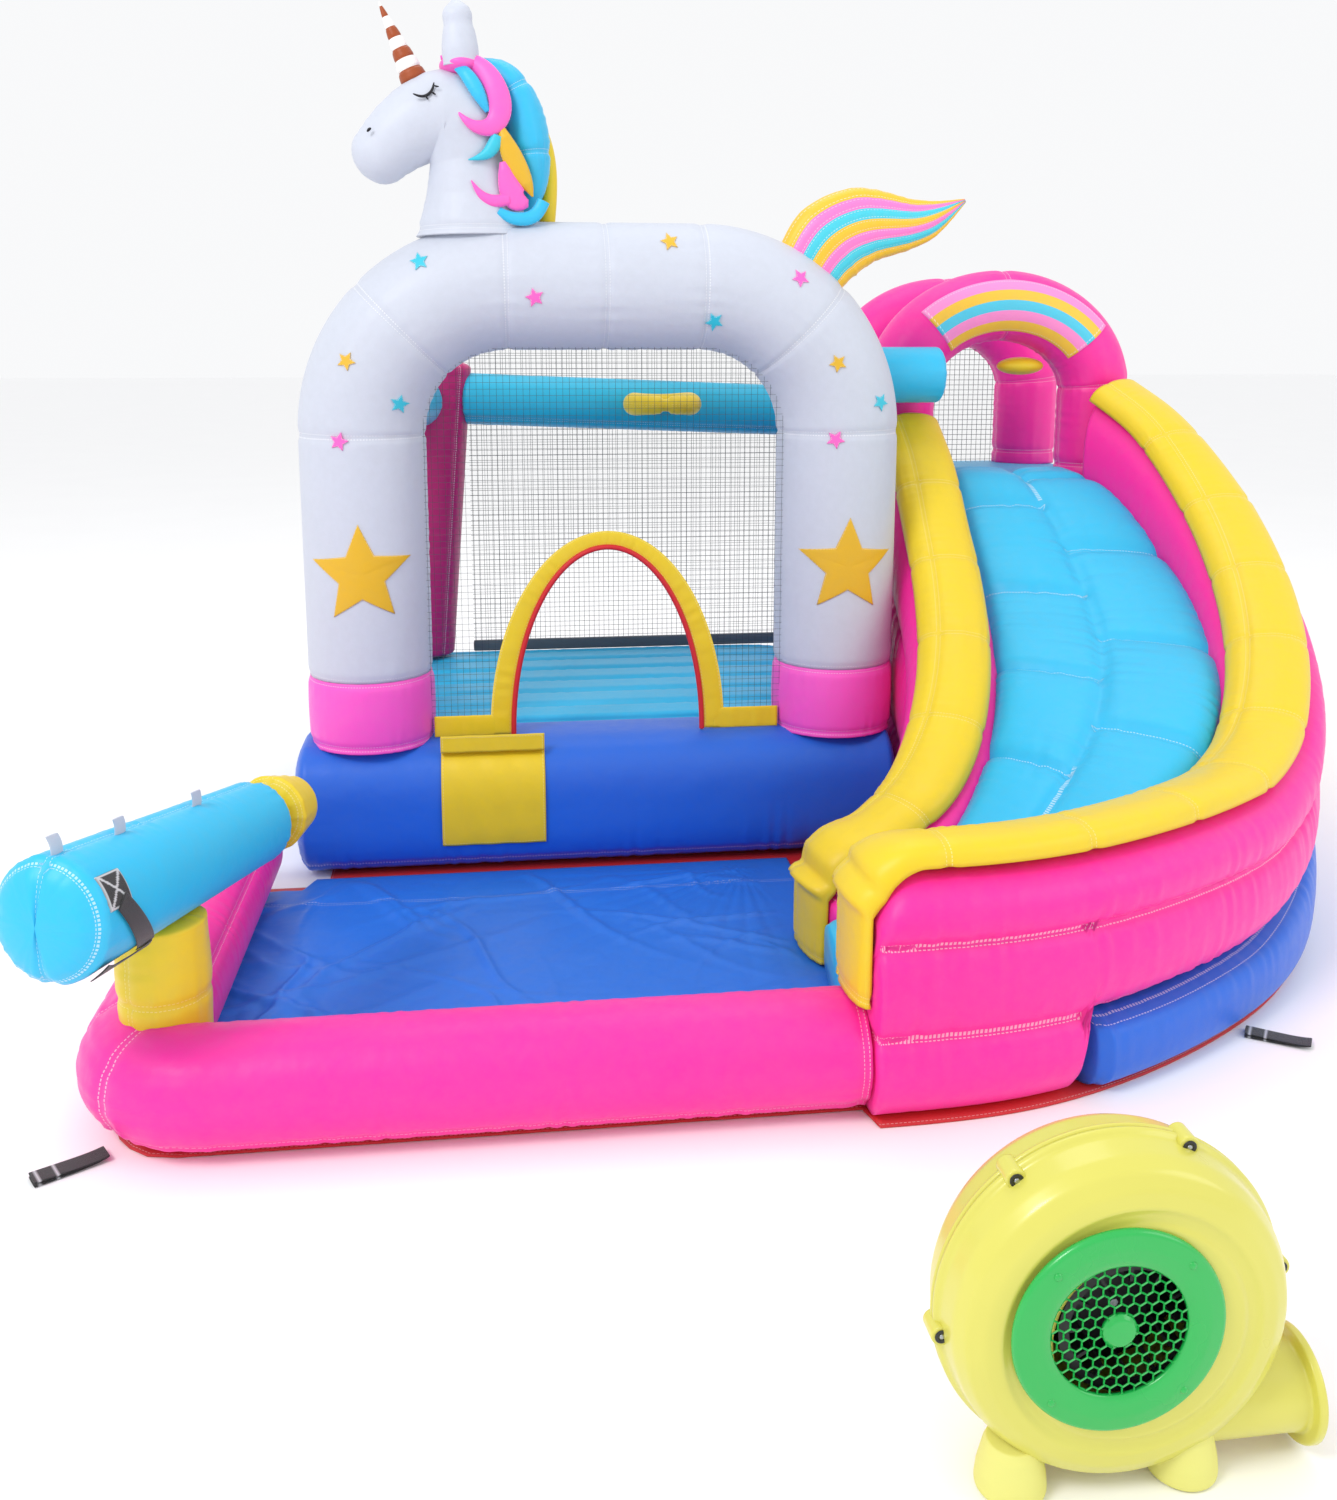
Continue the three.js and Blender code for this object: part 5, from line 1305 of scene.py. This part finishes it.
# ---- cannon ----
CANNON = np.array([-1.05, -1.465, 0.562])
HEADING, TILT = np.pi + 1.19, -0.07
AIM = np.array([[np.cos(HEADING), -np.sin(HEADING), 0], [np.sin(HEADING), np.cos(HEADING), 0],
                [0, 0, 1.0]]) @ np.array(
    [[np.cos(TILT), 0, np.sin(TILT)], [0, 1, 0], [-np.sin(TILT), 0, np.cos(TILT)]])


def aimed(points):
    """From the cannon's own axes, muzzle towards +X, to its place on the post."""
    return np.asarray(points) @ AIM.T + CANNON


def on_barrel(x, turn, proud):
    """Point on the barrel: its radius grows in a straight line from 0.097 at x = -0.372 to 0.124 at x =
    0.32."""
    radius = 0.097 + (x + 0.372) / 0.692 * 0.027 + proud
    return np.stack([x, radius * np.sin(turn), radius * np.cos(turn)], -1)


def barrel_patch(name, low, high, material, slot, proud=0.0035, box_stitch=False):
    """Patch of cloth wrapped on the barrel from (x, turn) low to high, its rim dipping into the skin."""
    x, turn = np.meshgrid(np.linspace(low[0], high[0], 24), np.linspace(low[1], high[1], 40), indexing="ij")
    u = (x - low[0]) / (high[0] - low[0])
    v = (turn - low[1]) / (high[1] - low[1])
    rim = np.minimum(np.minimum(u, 1 - u) * (high[0] - low[0]),
                     np.minimum(v, 1 - v) * (high[1] - low[1]) * 0.11)
    lift = proud * np.clip(rim / 0.003, 0, 1) - 0.003 * (rim < 1e-6)
    grid = aimed(on_barrel(x, turn, lift))
    cross = np.minimum(np.abs(u - v), np.abs(u + v - 1))
    stitch = ((cross < 0.05) | (np.abs(rim - 0.004) < 0.0012)) & box_stitch
    spot = aimed(on_barrel(np.array([(low[0] + high[0]) / 2]), np.array([(low[1] + high[1]) / 2]), 0.0))[0]
    axis_point = aimed([[(low[0] + high[0]) / 2, 0, 0]])[0]
    values = {"seam": rim if not box_stitch else np.full(rim.shape, 9.0), "seam_run": x + turn * 0.1,
              "stitch": stitch.astype(float) * 0.8}
    piece = skin(name, grid, closed=False, facing=spot - axis_point, values=values)
    return finish(piece, material, slot, body="cannon")


def cannon():
    barrel_path = spaced([[-0.372, 0, 0], [0.32, 0, 0]], step=0.008)
    grid = tube(barrel_path, Z, np.linspace(0.097, 0.124, len(barrel_path)), domes=(0.04, 0.045), sides=96)
    whole = lengths(grid)[0][-1]
    seams = [ringwise(grid, 0.10), ringwise(grid, 1 - 0.118 / whole), lengthwise(grid, 0.75),
             lengthwise(grid, 0.25)]
    grid, values = puffed(grid, seams, pinch=0.006, ripple=0.0042, pitch=0.03, reach=0.03)
    barrel = skin("cannon_barrel_skin", aimed(grid), values=values)
    finish(barrel, CYAN, "cyan_fabric", "cannon_barrel", body="cannon", fill=0.9)
    path = spaced([[-0.446, 0, 0], [-0.532, 0, 0]], step=0.006)
    grid = tube(path, Z, np.linspace(0.092, 0.072, len(path)), domes=(0.022, 0.034), sides=80)
    grid, values = puffed(grid, [ringwise(grid, 0.3), lengthwise(grid, 0.25)], pinch=0.003, ripple=0.0025,
                          pitch=0.035,
                          reach=0.04)
    breech = skin("cannon_breech_skin", aimed(grid), values=values)
    finish(breech, YELLOW, "yellow_fabric", "cannon_breech", body="cannon", fill=0.85)
    neck = tube(spaced([[-0.448, 0, 0], [-0.40, 0, 0]], step=0.006), Z, 0.06, sides=48)
    piece = skin("cannon_neck", aimed(neck))
    finish(piece, YELLOW, "yellow_fabric", body="cannon")
    for number, (x, turn) in enumerate(((0.292, -0.05), (0.135, 0.12), (-0.12, 0.15)), 1):
        tab_loop(number, x, turn)
    barrel_patch("strap_patch", (0.245, 0.78), (0.314, 1.38), TAPE, "webbing", 0.004, box_stitch=True)
    strap("cannon_strap", [(0.28, 1.3), (0.235, 1.75), (0.155, 2.4)], 0.006)
    strap("cannon_strap_end", [(0.150, 2.38), (0.2, 2.55), (0.27, 2.55), (0.312, 2.42)], 0.0105)


def tab_loop(number, x, turn):
    """White loop of cloth that stands on the barrel: a flat tape whose path leans over as it rises."""
    rise = np.linspace(-0.006, 0.034, 24)
    foot = on_barrel(np.full(24, x), np.full(24, turn), rise)
    foot[:, 0] += 10 * np.maximum(rise, 0) ** 2
    path = aimed(foot)
    grid = swept(path, AIM @ X, *oval(0.0018, 0.0165, 28, 4.0), domes=(0, 0.0015), dome_rows=3)
    loop = skin(f"cannon_tab_{number}", grid)
    finish(loop, WHITE, "white_fabric", body="cannon")


def strap(name, stops, proud):
    """Tape 42 mm wide that lies on the barrel along (x, turn) stops, laid out in the unrolled plane."""
    line = smooth_path([(x, turn * 0.12) for x, turn in stops], 70)
    beside = unit(np.gradient(line, axis=0)) @ np.array([[0, 1], [-1, 0]])
    outline = oval(0.021, 0.0012, 40, 5.0)
    flat = line[:, None] + beside[:, None] * outline[0][:, None]
    radius = 0.097 + (flat[..., 0] + 0.372) / 0.692 * 0.027
    grid = aimed(on_barrel(flat[..., 0], flat[..., 1] / radius, proud + outline[1][None]))
    tape = skin(name, grid, values={"stitch": np.zeros(grid.shape[:2])})
    finish(tape, TAPE, "webbing", body="cannon")


def cannon_post():
    turn = np.linspace(0, 1, 46)
    path = np.stack([np.full(46, -1.05), np.full(46, -1.465), 0.2 + turn * 0.252], 1)
    grid = tube(path, Y, 0.0945 - 0.002 * np.cos(turn * TURN), domes=(0, 0.012), sides=96)
    seams = [ringwise(grid, 0.28), ringwise(grid, 0.93), lengthwise(grid, 0.85)]
    post = inflated("cannon_post_skin", grid, seams, pinch=0.004, ripple=0.003, pitch=0.05, reach=0.05)
    finish(post, YELLOW, "yellow_fabric", "cannon_post", fill=0.85)


def rainbow():
    """Five-striped applique over the front of the tower's arch; its stripes follow the arch from shoulder to
    shoulder, at this share of the way across."""
    path = spaced(arch_path(TOWER_HALF, TOWER_DECK, TOWER_SPRING, TOWER_RISE, TOWER_HALF, 0.513, TOWER_X),
                  count=400)
    reach = np.linspace(0, 1, 400)
    kept = (reach > 0.33) & (reach < 0.70)
    line = path[kept]
    tangent = unit(np.gradient(line, axis=0))
    out = np.stack([tangent[:, 2], 0 * tangent[:, 0], -tangent[:, 0]], 1)
    out *= np.sign(np.sum(out * (line - [TOWER_X, 0.513, 1.3])))
    share = np.linspace(0, 1, 90)
    across = (share * 2 - 1) * 0.088
    x = line[:, None, 0] + out[:, None, 0] * across
    z = line[:, None, 2] + out[:, None, 2] * across
    end = np.minimum(np.arange(len(line)), np.arange(len(line))[::-1])[:, None] * 0.002
    rim = np.minimum(np.minimum(share, 1 - share)[None] * 0.176, end)
    proud = np.where(rim < 0.0015, -0.003, 0.0045)
    y = 0.513 - np.sqrt(TOWER_TUBE ** 2 - across ** 2)[None] - proud
    values = {"band": np.broadcast_to(share, x.shape), "seam": rim + 0 * x, "seam_run": x}
    piece = skin("tower_rainbow", np.stack([x, y + 0 * x, z], -1), closed=False, facing=-Y, values=values)
    finish(piece, RAINBOW, "rainbow_fabric")


# ---- webbing loops, air sleeve and ground sheet ----
def anchors():
    """Flat tape folded into a loop: its two ends lie together and its middle rises by 12 mm."""
    for corner, x, y, turn in (("front_left", -1.215, -1.632, 0.55), ("front_right", 1.48, -1.445, -0.6),
                               ("rear_left", -1.0, 1.39, -0.7), ("rear_right", 1.01, 1.44, 0.9)):
        share = np.linspace(0, 1, 90)
        along = -0.072 + 0.144 * np.sin(np.pi * share)
        height = 0.0018 + 0.0085 * share + 0.006 * np.sin(np.pi * share) ** 6
        path = np.stack([along, 0 * share, height], 1)
        grid = swept(path, Y, *oval(0.0011, 0.0225, 24, 6.0), domes=(0.001, 0.001), dome_rows=2)
        c, s = np.cos(turn), np.sin(turn)
        grid = np.stack([grid[..., 0] * c - grid[..., 1] * s + x, grid[..., 0] * s + grid[..., 1] * c + y,
                         grid[..., 2]], -1)
        cross = np.abs(np.abs(along + 0.045) - 0.018) < 0.0012
        stitch = np.broadcast_to(np.pad(cross.astype(float), 2, mode="edge")[:, None], grid.shape[:2])
        loop = skin(f"anchor_loop_{corner}", grid, values={"stitch": stitch * 0.8})
        finish(loop, TAPE, "webbing", f"anchor_{corner}")


def air_sleeve():
    """Fabric duct behind the rear wall: rings shrink along its path and crumple towards its tied end."""
    path = smooth_path([(0.18, 1.305, 0.12), (0.187, 1.37, 0.112), (0.215, 1.43, 0.084)], 90)
    share = np.linspace(0, 1, 90)[:, None]
    wide = np.interp(share, [0, 0.6, 1], [0.078, 0.074, 0.066])
    tall = np.interp(share, [0, 0.6, 1], [0.078, 0.066, 0.054])
    grid = swept(path, Z, *oval(wide, tall, 90), domes=(0, 0.012))
    grid = np.maximum(grid, [-9, -9, 0.0065])
    seams = [ringwise(grid, 0.2), ringwise(grid, 0.86), lengthwise(grid, 0.5)]
    sleeve = inflated("air_sleeve", grid, seams, pinch=0.004, ripple=0.004, pitch=0.03, reach=0.06)
    finish(sleeve, BLUE, "blue_fabric", "air_inlet_sleeve", fill=0.7)


def ground_sheet():
    """Red sheet under everything, as an outline filled towards its middle."""
    edge = OUTER_LINE + unit(OUTER_LINE - INNER_LINE) * 0.114
    left, front = -1.16, -1.618
    outline = [[left + 0.15, front], [0.42, front], *edge[:-2][::-1].tolist(), [1.9075, 0.39],
               [1.9075, 1.253],
               [0.88, 1.253], [0.88, 1.28], [-0.87, 1.28], [-0.87, -0.217], [left, -0.217],
               [left, front + 0.15],
               [left + 0.012, front + 0.088], [left + 0.045, front + 0.045], [left + 0.088, front + 0.012]]
    outline = np.array(outline + outline[:1])
    loop = spaced(outline, count=901)[:-1]
    middle = np.array([0.3, -0.45])
    share = np.concatenate([np.linspace(0.02, 1, 20), [1.0], np.linspace(1, 0.02, 20)])
    height = np.concatenate([np.full(20, 0.0006), [0.0030], np.full(20, 0.0054)])
    plan = middle + (loop - middle)[None] * share[:, None, None]
    grid = np.concatenate([plan, np.broadcast_to(height[:, None, None], plan.shape[:2] + (1,))], axis=2)
    rim = np.minimum((1 - share)[:, None] * np.linalg.norm(loop - middle, axis=1)[None], 9.0)
    sheet = skin("ground_sheet_cloth", grid,
                 values={"seam": rim, "seam_run": np.broadcast_to(np.arange(900) * 0.012, rim.shape)})
    finish(sheet, RED, "red_fabric", "ground_sheet")


# ---- blower ----
BLOWER = np.array([0.524, -2.57, 0.27])
CASING = 0.256


def turned_shell(profile, sides=160, rings=None):
    """Solid of revolution about the blower's own axis: point = (r cos t, depth, r sin t)."""
    profile = spaced(np.array(profile), step=rings or 0.004)
    turn = np.arange(sides) / sides * TURN
    grid = np.stack([profile[:, :1] * np.cos(turn), profile[:, 1:] + 0 * turn,
                     profile[:, :1] * np.sin(turn)], -1)
    return grid


def closed_shell(name, profile, material, slot, *nodes, body="root", sides=160, step=0.004, centre=BLOWER):
    """Turned shell whose profile is a loop, so that its last row meets its first."""
    loop = np.array(list(profile) + [profile[0]])
    grid = turned_shell(loop, sides, step)
    piece = skin(name, grid[:-1] + centre, poles=(False, False))
    mesh = piece.data
    rows = len(grid) - 1
    bm = bmesh.new()
    bm.from_mesh(mesh)
    bm.verts.ensure_lookup_table()
    first = [bm.verts[k] for k in range(sides)]
    last = [bm.verts[(rows - 1) * sides + k] for k in range(sides)]
    for k in range(sides):
        bm.faces.new([last[k], last[(k + 1) % sides], first[(k + 1) % sides], first[k]]).smooth = True
    bmesh.ops.recalc_face_normals(bm, faces=bm.faces)
    bm.to_mesh(mesh)
    bm.free()
    return finish(piece, material, slot, *nodes, body=body)


def rounded(points, radius, rows=5):
    """Closed profile with its corners rounded off."""
    points = np.array(points, float)
    out = []
    for k, point in enumerate(points):
        before, after = points[k - 1] - point, points[(k + 1) % len(points)] - point
        near = min(radius, np.linalg.norm(before) * 0.45, np.linalg.norm(after) * 0.45)
        a, b = point + unit(before) * near, point + unit(after) * near
        t = np.linspace(0, 1, rows)[:, None]
        out.append((1 - t) ** 2 * a + 2 * t * (1 - t) * point + t ** 2 * b)
    return np.concatenate(out).tolist()


def casing():
    """Two moulded halves with a stepped rim, a recessed ring round each hole and six screw bosses."""
    for side, sign, hole in (("front", -1, 0.118), ("back", 1, 0.062)):
        r = CASING
        outer = [(r + 0.008, 0.0006), (r + 0.008, 0.009), (r, 0.014), (r - 0.006, 0.052), (r - 0.018, 0.074),
                 (r - 0.04, 0.0865), (r - 0.065, 0.0915), (r - 0.07, 0.0885), (r - 0.086, 0.0885),
                 (r - 0.091, 0.093),
                 (hole + 0.01, 0.095), (hole, 0.092)]
        inner = [(hole, 0.088), (r - 0.09, 0.088), (r - 0.045, 0.079), (r - 0.013, 0.05), (r - 0.007, 0.012),
                 (r - 0.007, 0.0006)]
        profile = [(a, sign * b) for a, b in rounded(outer + inner, 0.005)]
        closed_shell(f"casing_{side}", profile, SHELL, "blower_shell", f"blower_casing_{side}")
    for number in range(6):
        turn = np.radians(67 + 60 * number)
        spot = BLOWER + np.array([np.cos(turn), 0, np.sin(turn)]) * (CASING + 0.001)
        boss = [(0.0, -0.024), (0.0145, -0.024), (0.0155, -0.02), (0.0155, 0.016), (0.0, 0.016)]
        lathe(f"screw_boss_{number + 1}", boss, spot, SHELL, "blower_shell")
        ring = [(0.0045, -0.0242), (0.0045, -0.0255), (0.0105, -0.0255), (0.0105, -0.0242)]
        closed_shell(f"boss_ring_{number + 1}", rounded(ring, 0.0008), DARK, "dark_plastic", sides=32,
                     step=0.0012,
                     centre=spot)
        lathe(f"screw_head_{number + 1}",
              [(0.0, -0.0262), (0.0036, -0.0262), (0.0042, -0.0235), (0.0, -0.0235)], spot,
              STEEL, "steel", sides=24)


def lathe(name, profile, spot, material, slot, *nodes, body="root", sides=48, axis=Y):
    """Turned solid whose profile starts and ends on its own axis, which runs along Y or Z."""
    grid = turned_shell(np.array(profile, float), sides, 0.0016)
    grid = grid[1:-1]
    if axis is Z:
        grid = grid[..., [0, 2, 1]]
    piece = skin(name, grid + spot)
    return finish(piece, material, slot, *nodes, body=body)


def grille():
    """Green guard in front of the air intake: a raised ring, a honeycomb of webs, a hub and four rivets."""
    centre = BLOWER + [-0.027, -0.0985, 0.016]
    outer, hole = 0.1568, 0.1
    ring = [(hole, 0.003), (outer - 0.002, 0.003), (outer, -0.002), (outer - 0.004, -0.0085),
            (hole + 0.03, -0.0115),
            (hole + 0.012, -0.010), (hole, -0.006)]
    closed_shell("grille_ring", rounded(ring, 0.003), GREEN, "blower_green", "blower_grille", step=0.003,
                 centre=centre)
    cell = 0.0168
    rows, columns = np.meshgrid(np.arange(-8, 9), np.arange(-9, 10), indexing="ij")
    cx = cell * np.sqrt(3) * (columns + 0.5 * (rows % 2)).ravel() * 0.62
    cz = cell * 1.5 * rows.ravel() * 0.62
    cell *= 0.62
    starts, ends = [], []
    for k in range(3):
        a, b = np.pi / 2 + k * np.pi / 3, np.pi / 2 + (k + 1) * np.pi / 3
        starts.append(np.stack([cx + cell * np.cos(a), cx * 0, cz + cell * np.sin(a)], 1))
        ends.append(np.stack([cx + cell * np.cos(b), cx * 0, cz + cell * np.sin(b)], 1))
    starts, ends = np.concatenate(starts), np.concatenate(ends)
    inside = np.maximum(np.linalg.norm(starts, axis=1), np.linalg.norm(ends, axis=1)) < hole + 0.006
    web = cords("grille_honeycomb", starts[inside] + centre - Y * 0.003, ends[inside] + centre - Y * 0.003,
                0.0034)
    finish(web, GREEN, "blower_green")
    lathe("grille_hub", [(0, -0.010), (0.02, -0.009), (0.026, -0.003), (0.026, 0.002), (0, 0.002)], centre,
          GREEN,
          "blower_green")
    for number in range(4):
        turn = np.radians(45 + 90 * number)
        spot = centre + np.array([np.cos(turn), 0, np.sin(turn)]) * 0.137 - Y * 0.0095
        lathe(f"grille_rivet_{number + 1}", [(0, -0.0042), (0.004, -0.0036), (0.0066, 0), (0, 0.001)], spot,
              GREEN,
              "blower_green", sides=24)


def outlet():
    """Square-shouldered duct from the casing to its round flange."""
    centre = np.array([0, -2.57, 0.088])
    path = [(0.654, 0.058), (0.654, 0.0655), (0.80, 0.0645), (0.822, 0.066), (0.824, 0.0835),
            (0.8375, 0.0835),
            (0.838, 0.06), (0.836, 0.058)]
    loop = np.array(rounded([(radius, x) for x, radius in path], 0.0025))
    grid = spaced(np.concatenate([loop, loop[:1]]), step=0.003)
    turn = np.arange(96) / 96 * TURN
    rings = np.stack([grid[:, 1:] + 0 * turn, grid[:, :1] * np.cos(turn), grid[:, :1] * np.sin(turn)], -1)
    piece = skin("blower_outlet_duct", rings + centre, poles=(False, False))
    piece.modifiers.new("join", "WELD").merge_threshold = 0.0002
    finish(piece, SHELL, "blower_shell", "blower_outlet")


def feet():
    for side, x in (("left", 0.374), ("right", 0.636)):
        foot = [(0, 0.0004), (0.047, 0.0004), (0.0515, 0.004), (0.052, 0.01), (0.05, 0.03), (0.042, 0.066),
                (0.037, 0.078),
                (0, 0.082)]
        lathe(f"blower_foot_pad_{side}", rounded_open(foot), np.array([x, -2.61, 0]), FOOT, "foot_rubber",
              f"blower_foot_{side}", axis=Z, sides=64)


def rounded_open(points):
    """Profile resampled between its first and last points, which stay where they are."""
    points = np.array(points)
    return np.concatenate([points[:1], spaced(points, step=0.002)[1:-1], points[-1:]])


def drive():
    """Motor drum with cooling ribs behind the rear half, the rocker and the cord gland."""
    ribs = [(0, 0.156), (0.052, 0.156), (0.057, 0.151)]
    for step in range(7):
        depth = 0.146 - step * 0.009
        ribs += [(0.058, depth), (0.058, depth - 0.004), (0.0545, depth - 0.005), (0.0545, depth - 0.008)]
    ribs += [(0.058, 0.08), (0.058, 0.036), (0, 0.036)]
    lathe("motor_drum", ribs, BLOWER, DARK, "dark_plastic", "blower_motor", sides=96)
    x, z = -0.112, 0.0
    rocker = cushion("rocker_key", (x - 0.011, 0.1, z - 0.0125), (x + 0.011, 0.1085, z + 0.0125), corner=8,
                     swell=0.0,
                     edge=0.002, crown=0.0006, around=64, over=8)
    rocker.data.transform(Matrix.Translation(Vector(BLOWER)))
    finish(rocker, SCARLET, "red_plastic", "blower_switch", body="switch")
    gland = [(0.0, 0.127), (0.0062, 0.127), (0.0078, 0.122), (0.0078, 0.112), (0.009, 0.11), (0.009, 0.0965),
             (0, 0.0965)]
    lathe("cord_gland", gland, BLOWER + [-0.096, 0, -0.082], DARK, "dark_plastic", "blower_gland", sides=48)


# ---- everything ----
for build in (white_arch, front_bolster, all_stars, chamber_floor, posts_and_beams, all_nets, entry_band,
              label, hoop,
              unicorn_head, unicorn_ears, unicorn_horn, unicorn_face, mane, tail, pool_walls, pool_floor,
              slide_walls,
              slide_bed, tower, rainbow, climbing_ramp, cannon_post, cannon, anchors, air_sleeve,
              ground_sheet,
              casing, grille, outlet, feet, drive):
    build()
leg_band("left", -1)
leg_band("right", 1)
slide_cap("slide_inner_cap", INNER_LINE, INNER_TOP, 0.02, "slide_cap_inner")
slide_cap("slide_outer_cap", OUTER_LINE, OUTER_TOP, 0.262, "slide_cap_outer", OUTER_LEAN)
for node, material, slot in (("blower_impeller", DARK, "dark_plastic"), ("blower_shaft", STEEL, "steel")):
    kept = bpy.data.objects[node]
    kept.data.materials.clear()
    kept.data.materials.append(material)


# ---- floor, sky and lamps ----
def pale_floor():
    """Pale matt floor that reaches far behind the house."""
    depth = np.linspace(-14, 60, 60)
    height = np.full(60, -0.001)
    x = np.linspace(-40, 40, 60)
    grid = np.stack([np.broadcast_to(x, (len(depth), 60)), np.broadcast_to(depth[:, None], (len(depth), 60)),
                     np.broadcast_to(height[:, None], (len(depth), 60))], -1)
    floor = skin("studio_floor", grid, closed=False, facing=(0, -0.3, 1))
    n = Nodes("matt_studio")
    place = n.add("TexCoord").outputs["Object"]
    tone = n.noise(place, 1.3, 3.0).outputs["Fac"]
    n.put(n.shader.inputs["Base Color"], n.mix(tone, (0.955, 0.955, 0.96, 1), (0.98, 0.98, 0.98, 1)))
    n.shader.inputs["Roughness"].default_value = 0.85
    n.shader.inputs["Specular IOR Level"].default_value = 0.15
    floor.data.materials.append(n.material)


def lamp(name, place, target, size, power, colour=(1, 1, 1)):
    light = bpy.data.lights.new(name, "AREA")
    light.shape = "DISK"
    light.size = size
    light.energy = power
    light.color = colour
    holder = bpy.data.objects.new(name, light)
    holder.location = ORIGIN + np.array(place)
    aim = Vector(target) - Vector(place)
    holder.rotation_euler = aim.to_track_quat("-Z", "Y").to_euler()
    bpy.context.scene.collection.objects.link(holder)


pale_floor()
sky = bpy.data.worlds.new("studio_sky")
sky.use_nodes = True
sky.node_tree.nodes["Background"].inputs["Color"].default_value = (0.985, 0.99, 1.0, 1)
sky.node_tree.nodes["Background"].inputs["Strength"].default_value = 0.96
bpy.context.scene.world = sky
bpy.context.scene.view_settings.view_transform = "Standard"
lamp("key", (-4.5, -5.0, 6.5), (0.2, -0.3, 0.6), 2.6, 260)
lamp("fill", (5.5, -4.5, 3.8), (0.3, -0.3, 0.8), 4.0, 70, (0.98, 0.99, 1))
lamp("top", (0.5, 1.5, 7.5), (0.2, 0.0, 0.8), 4.0, 60)
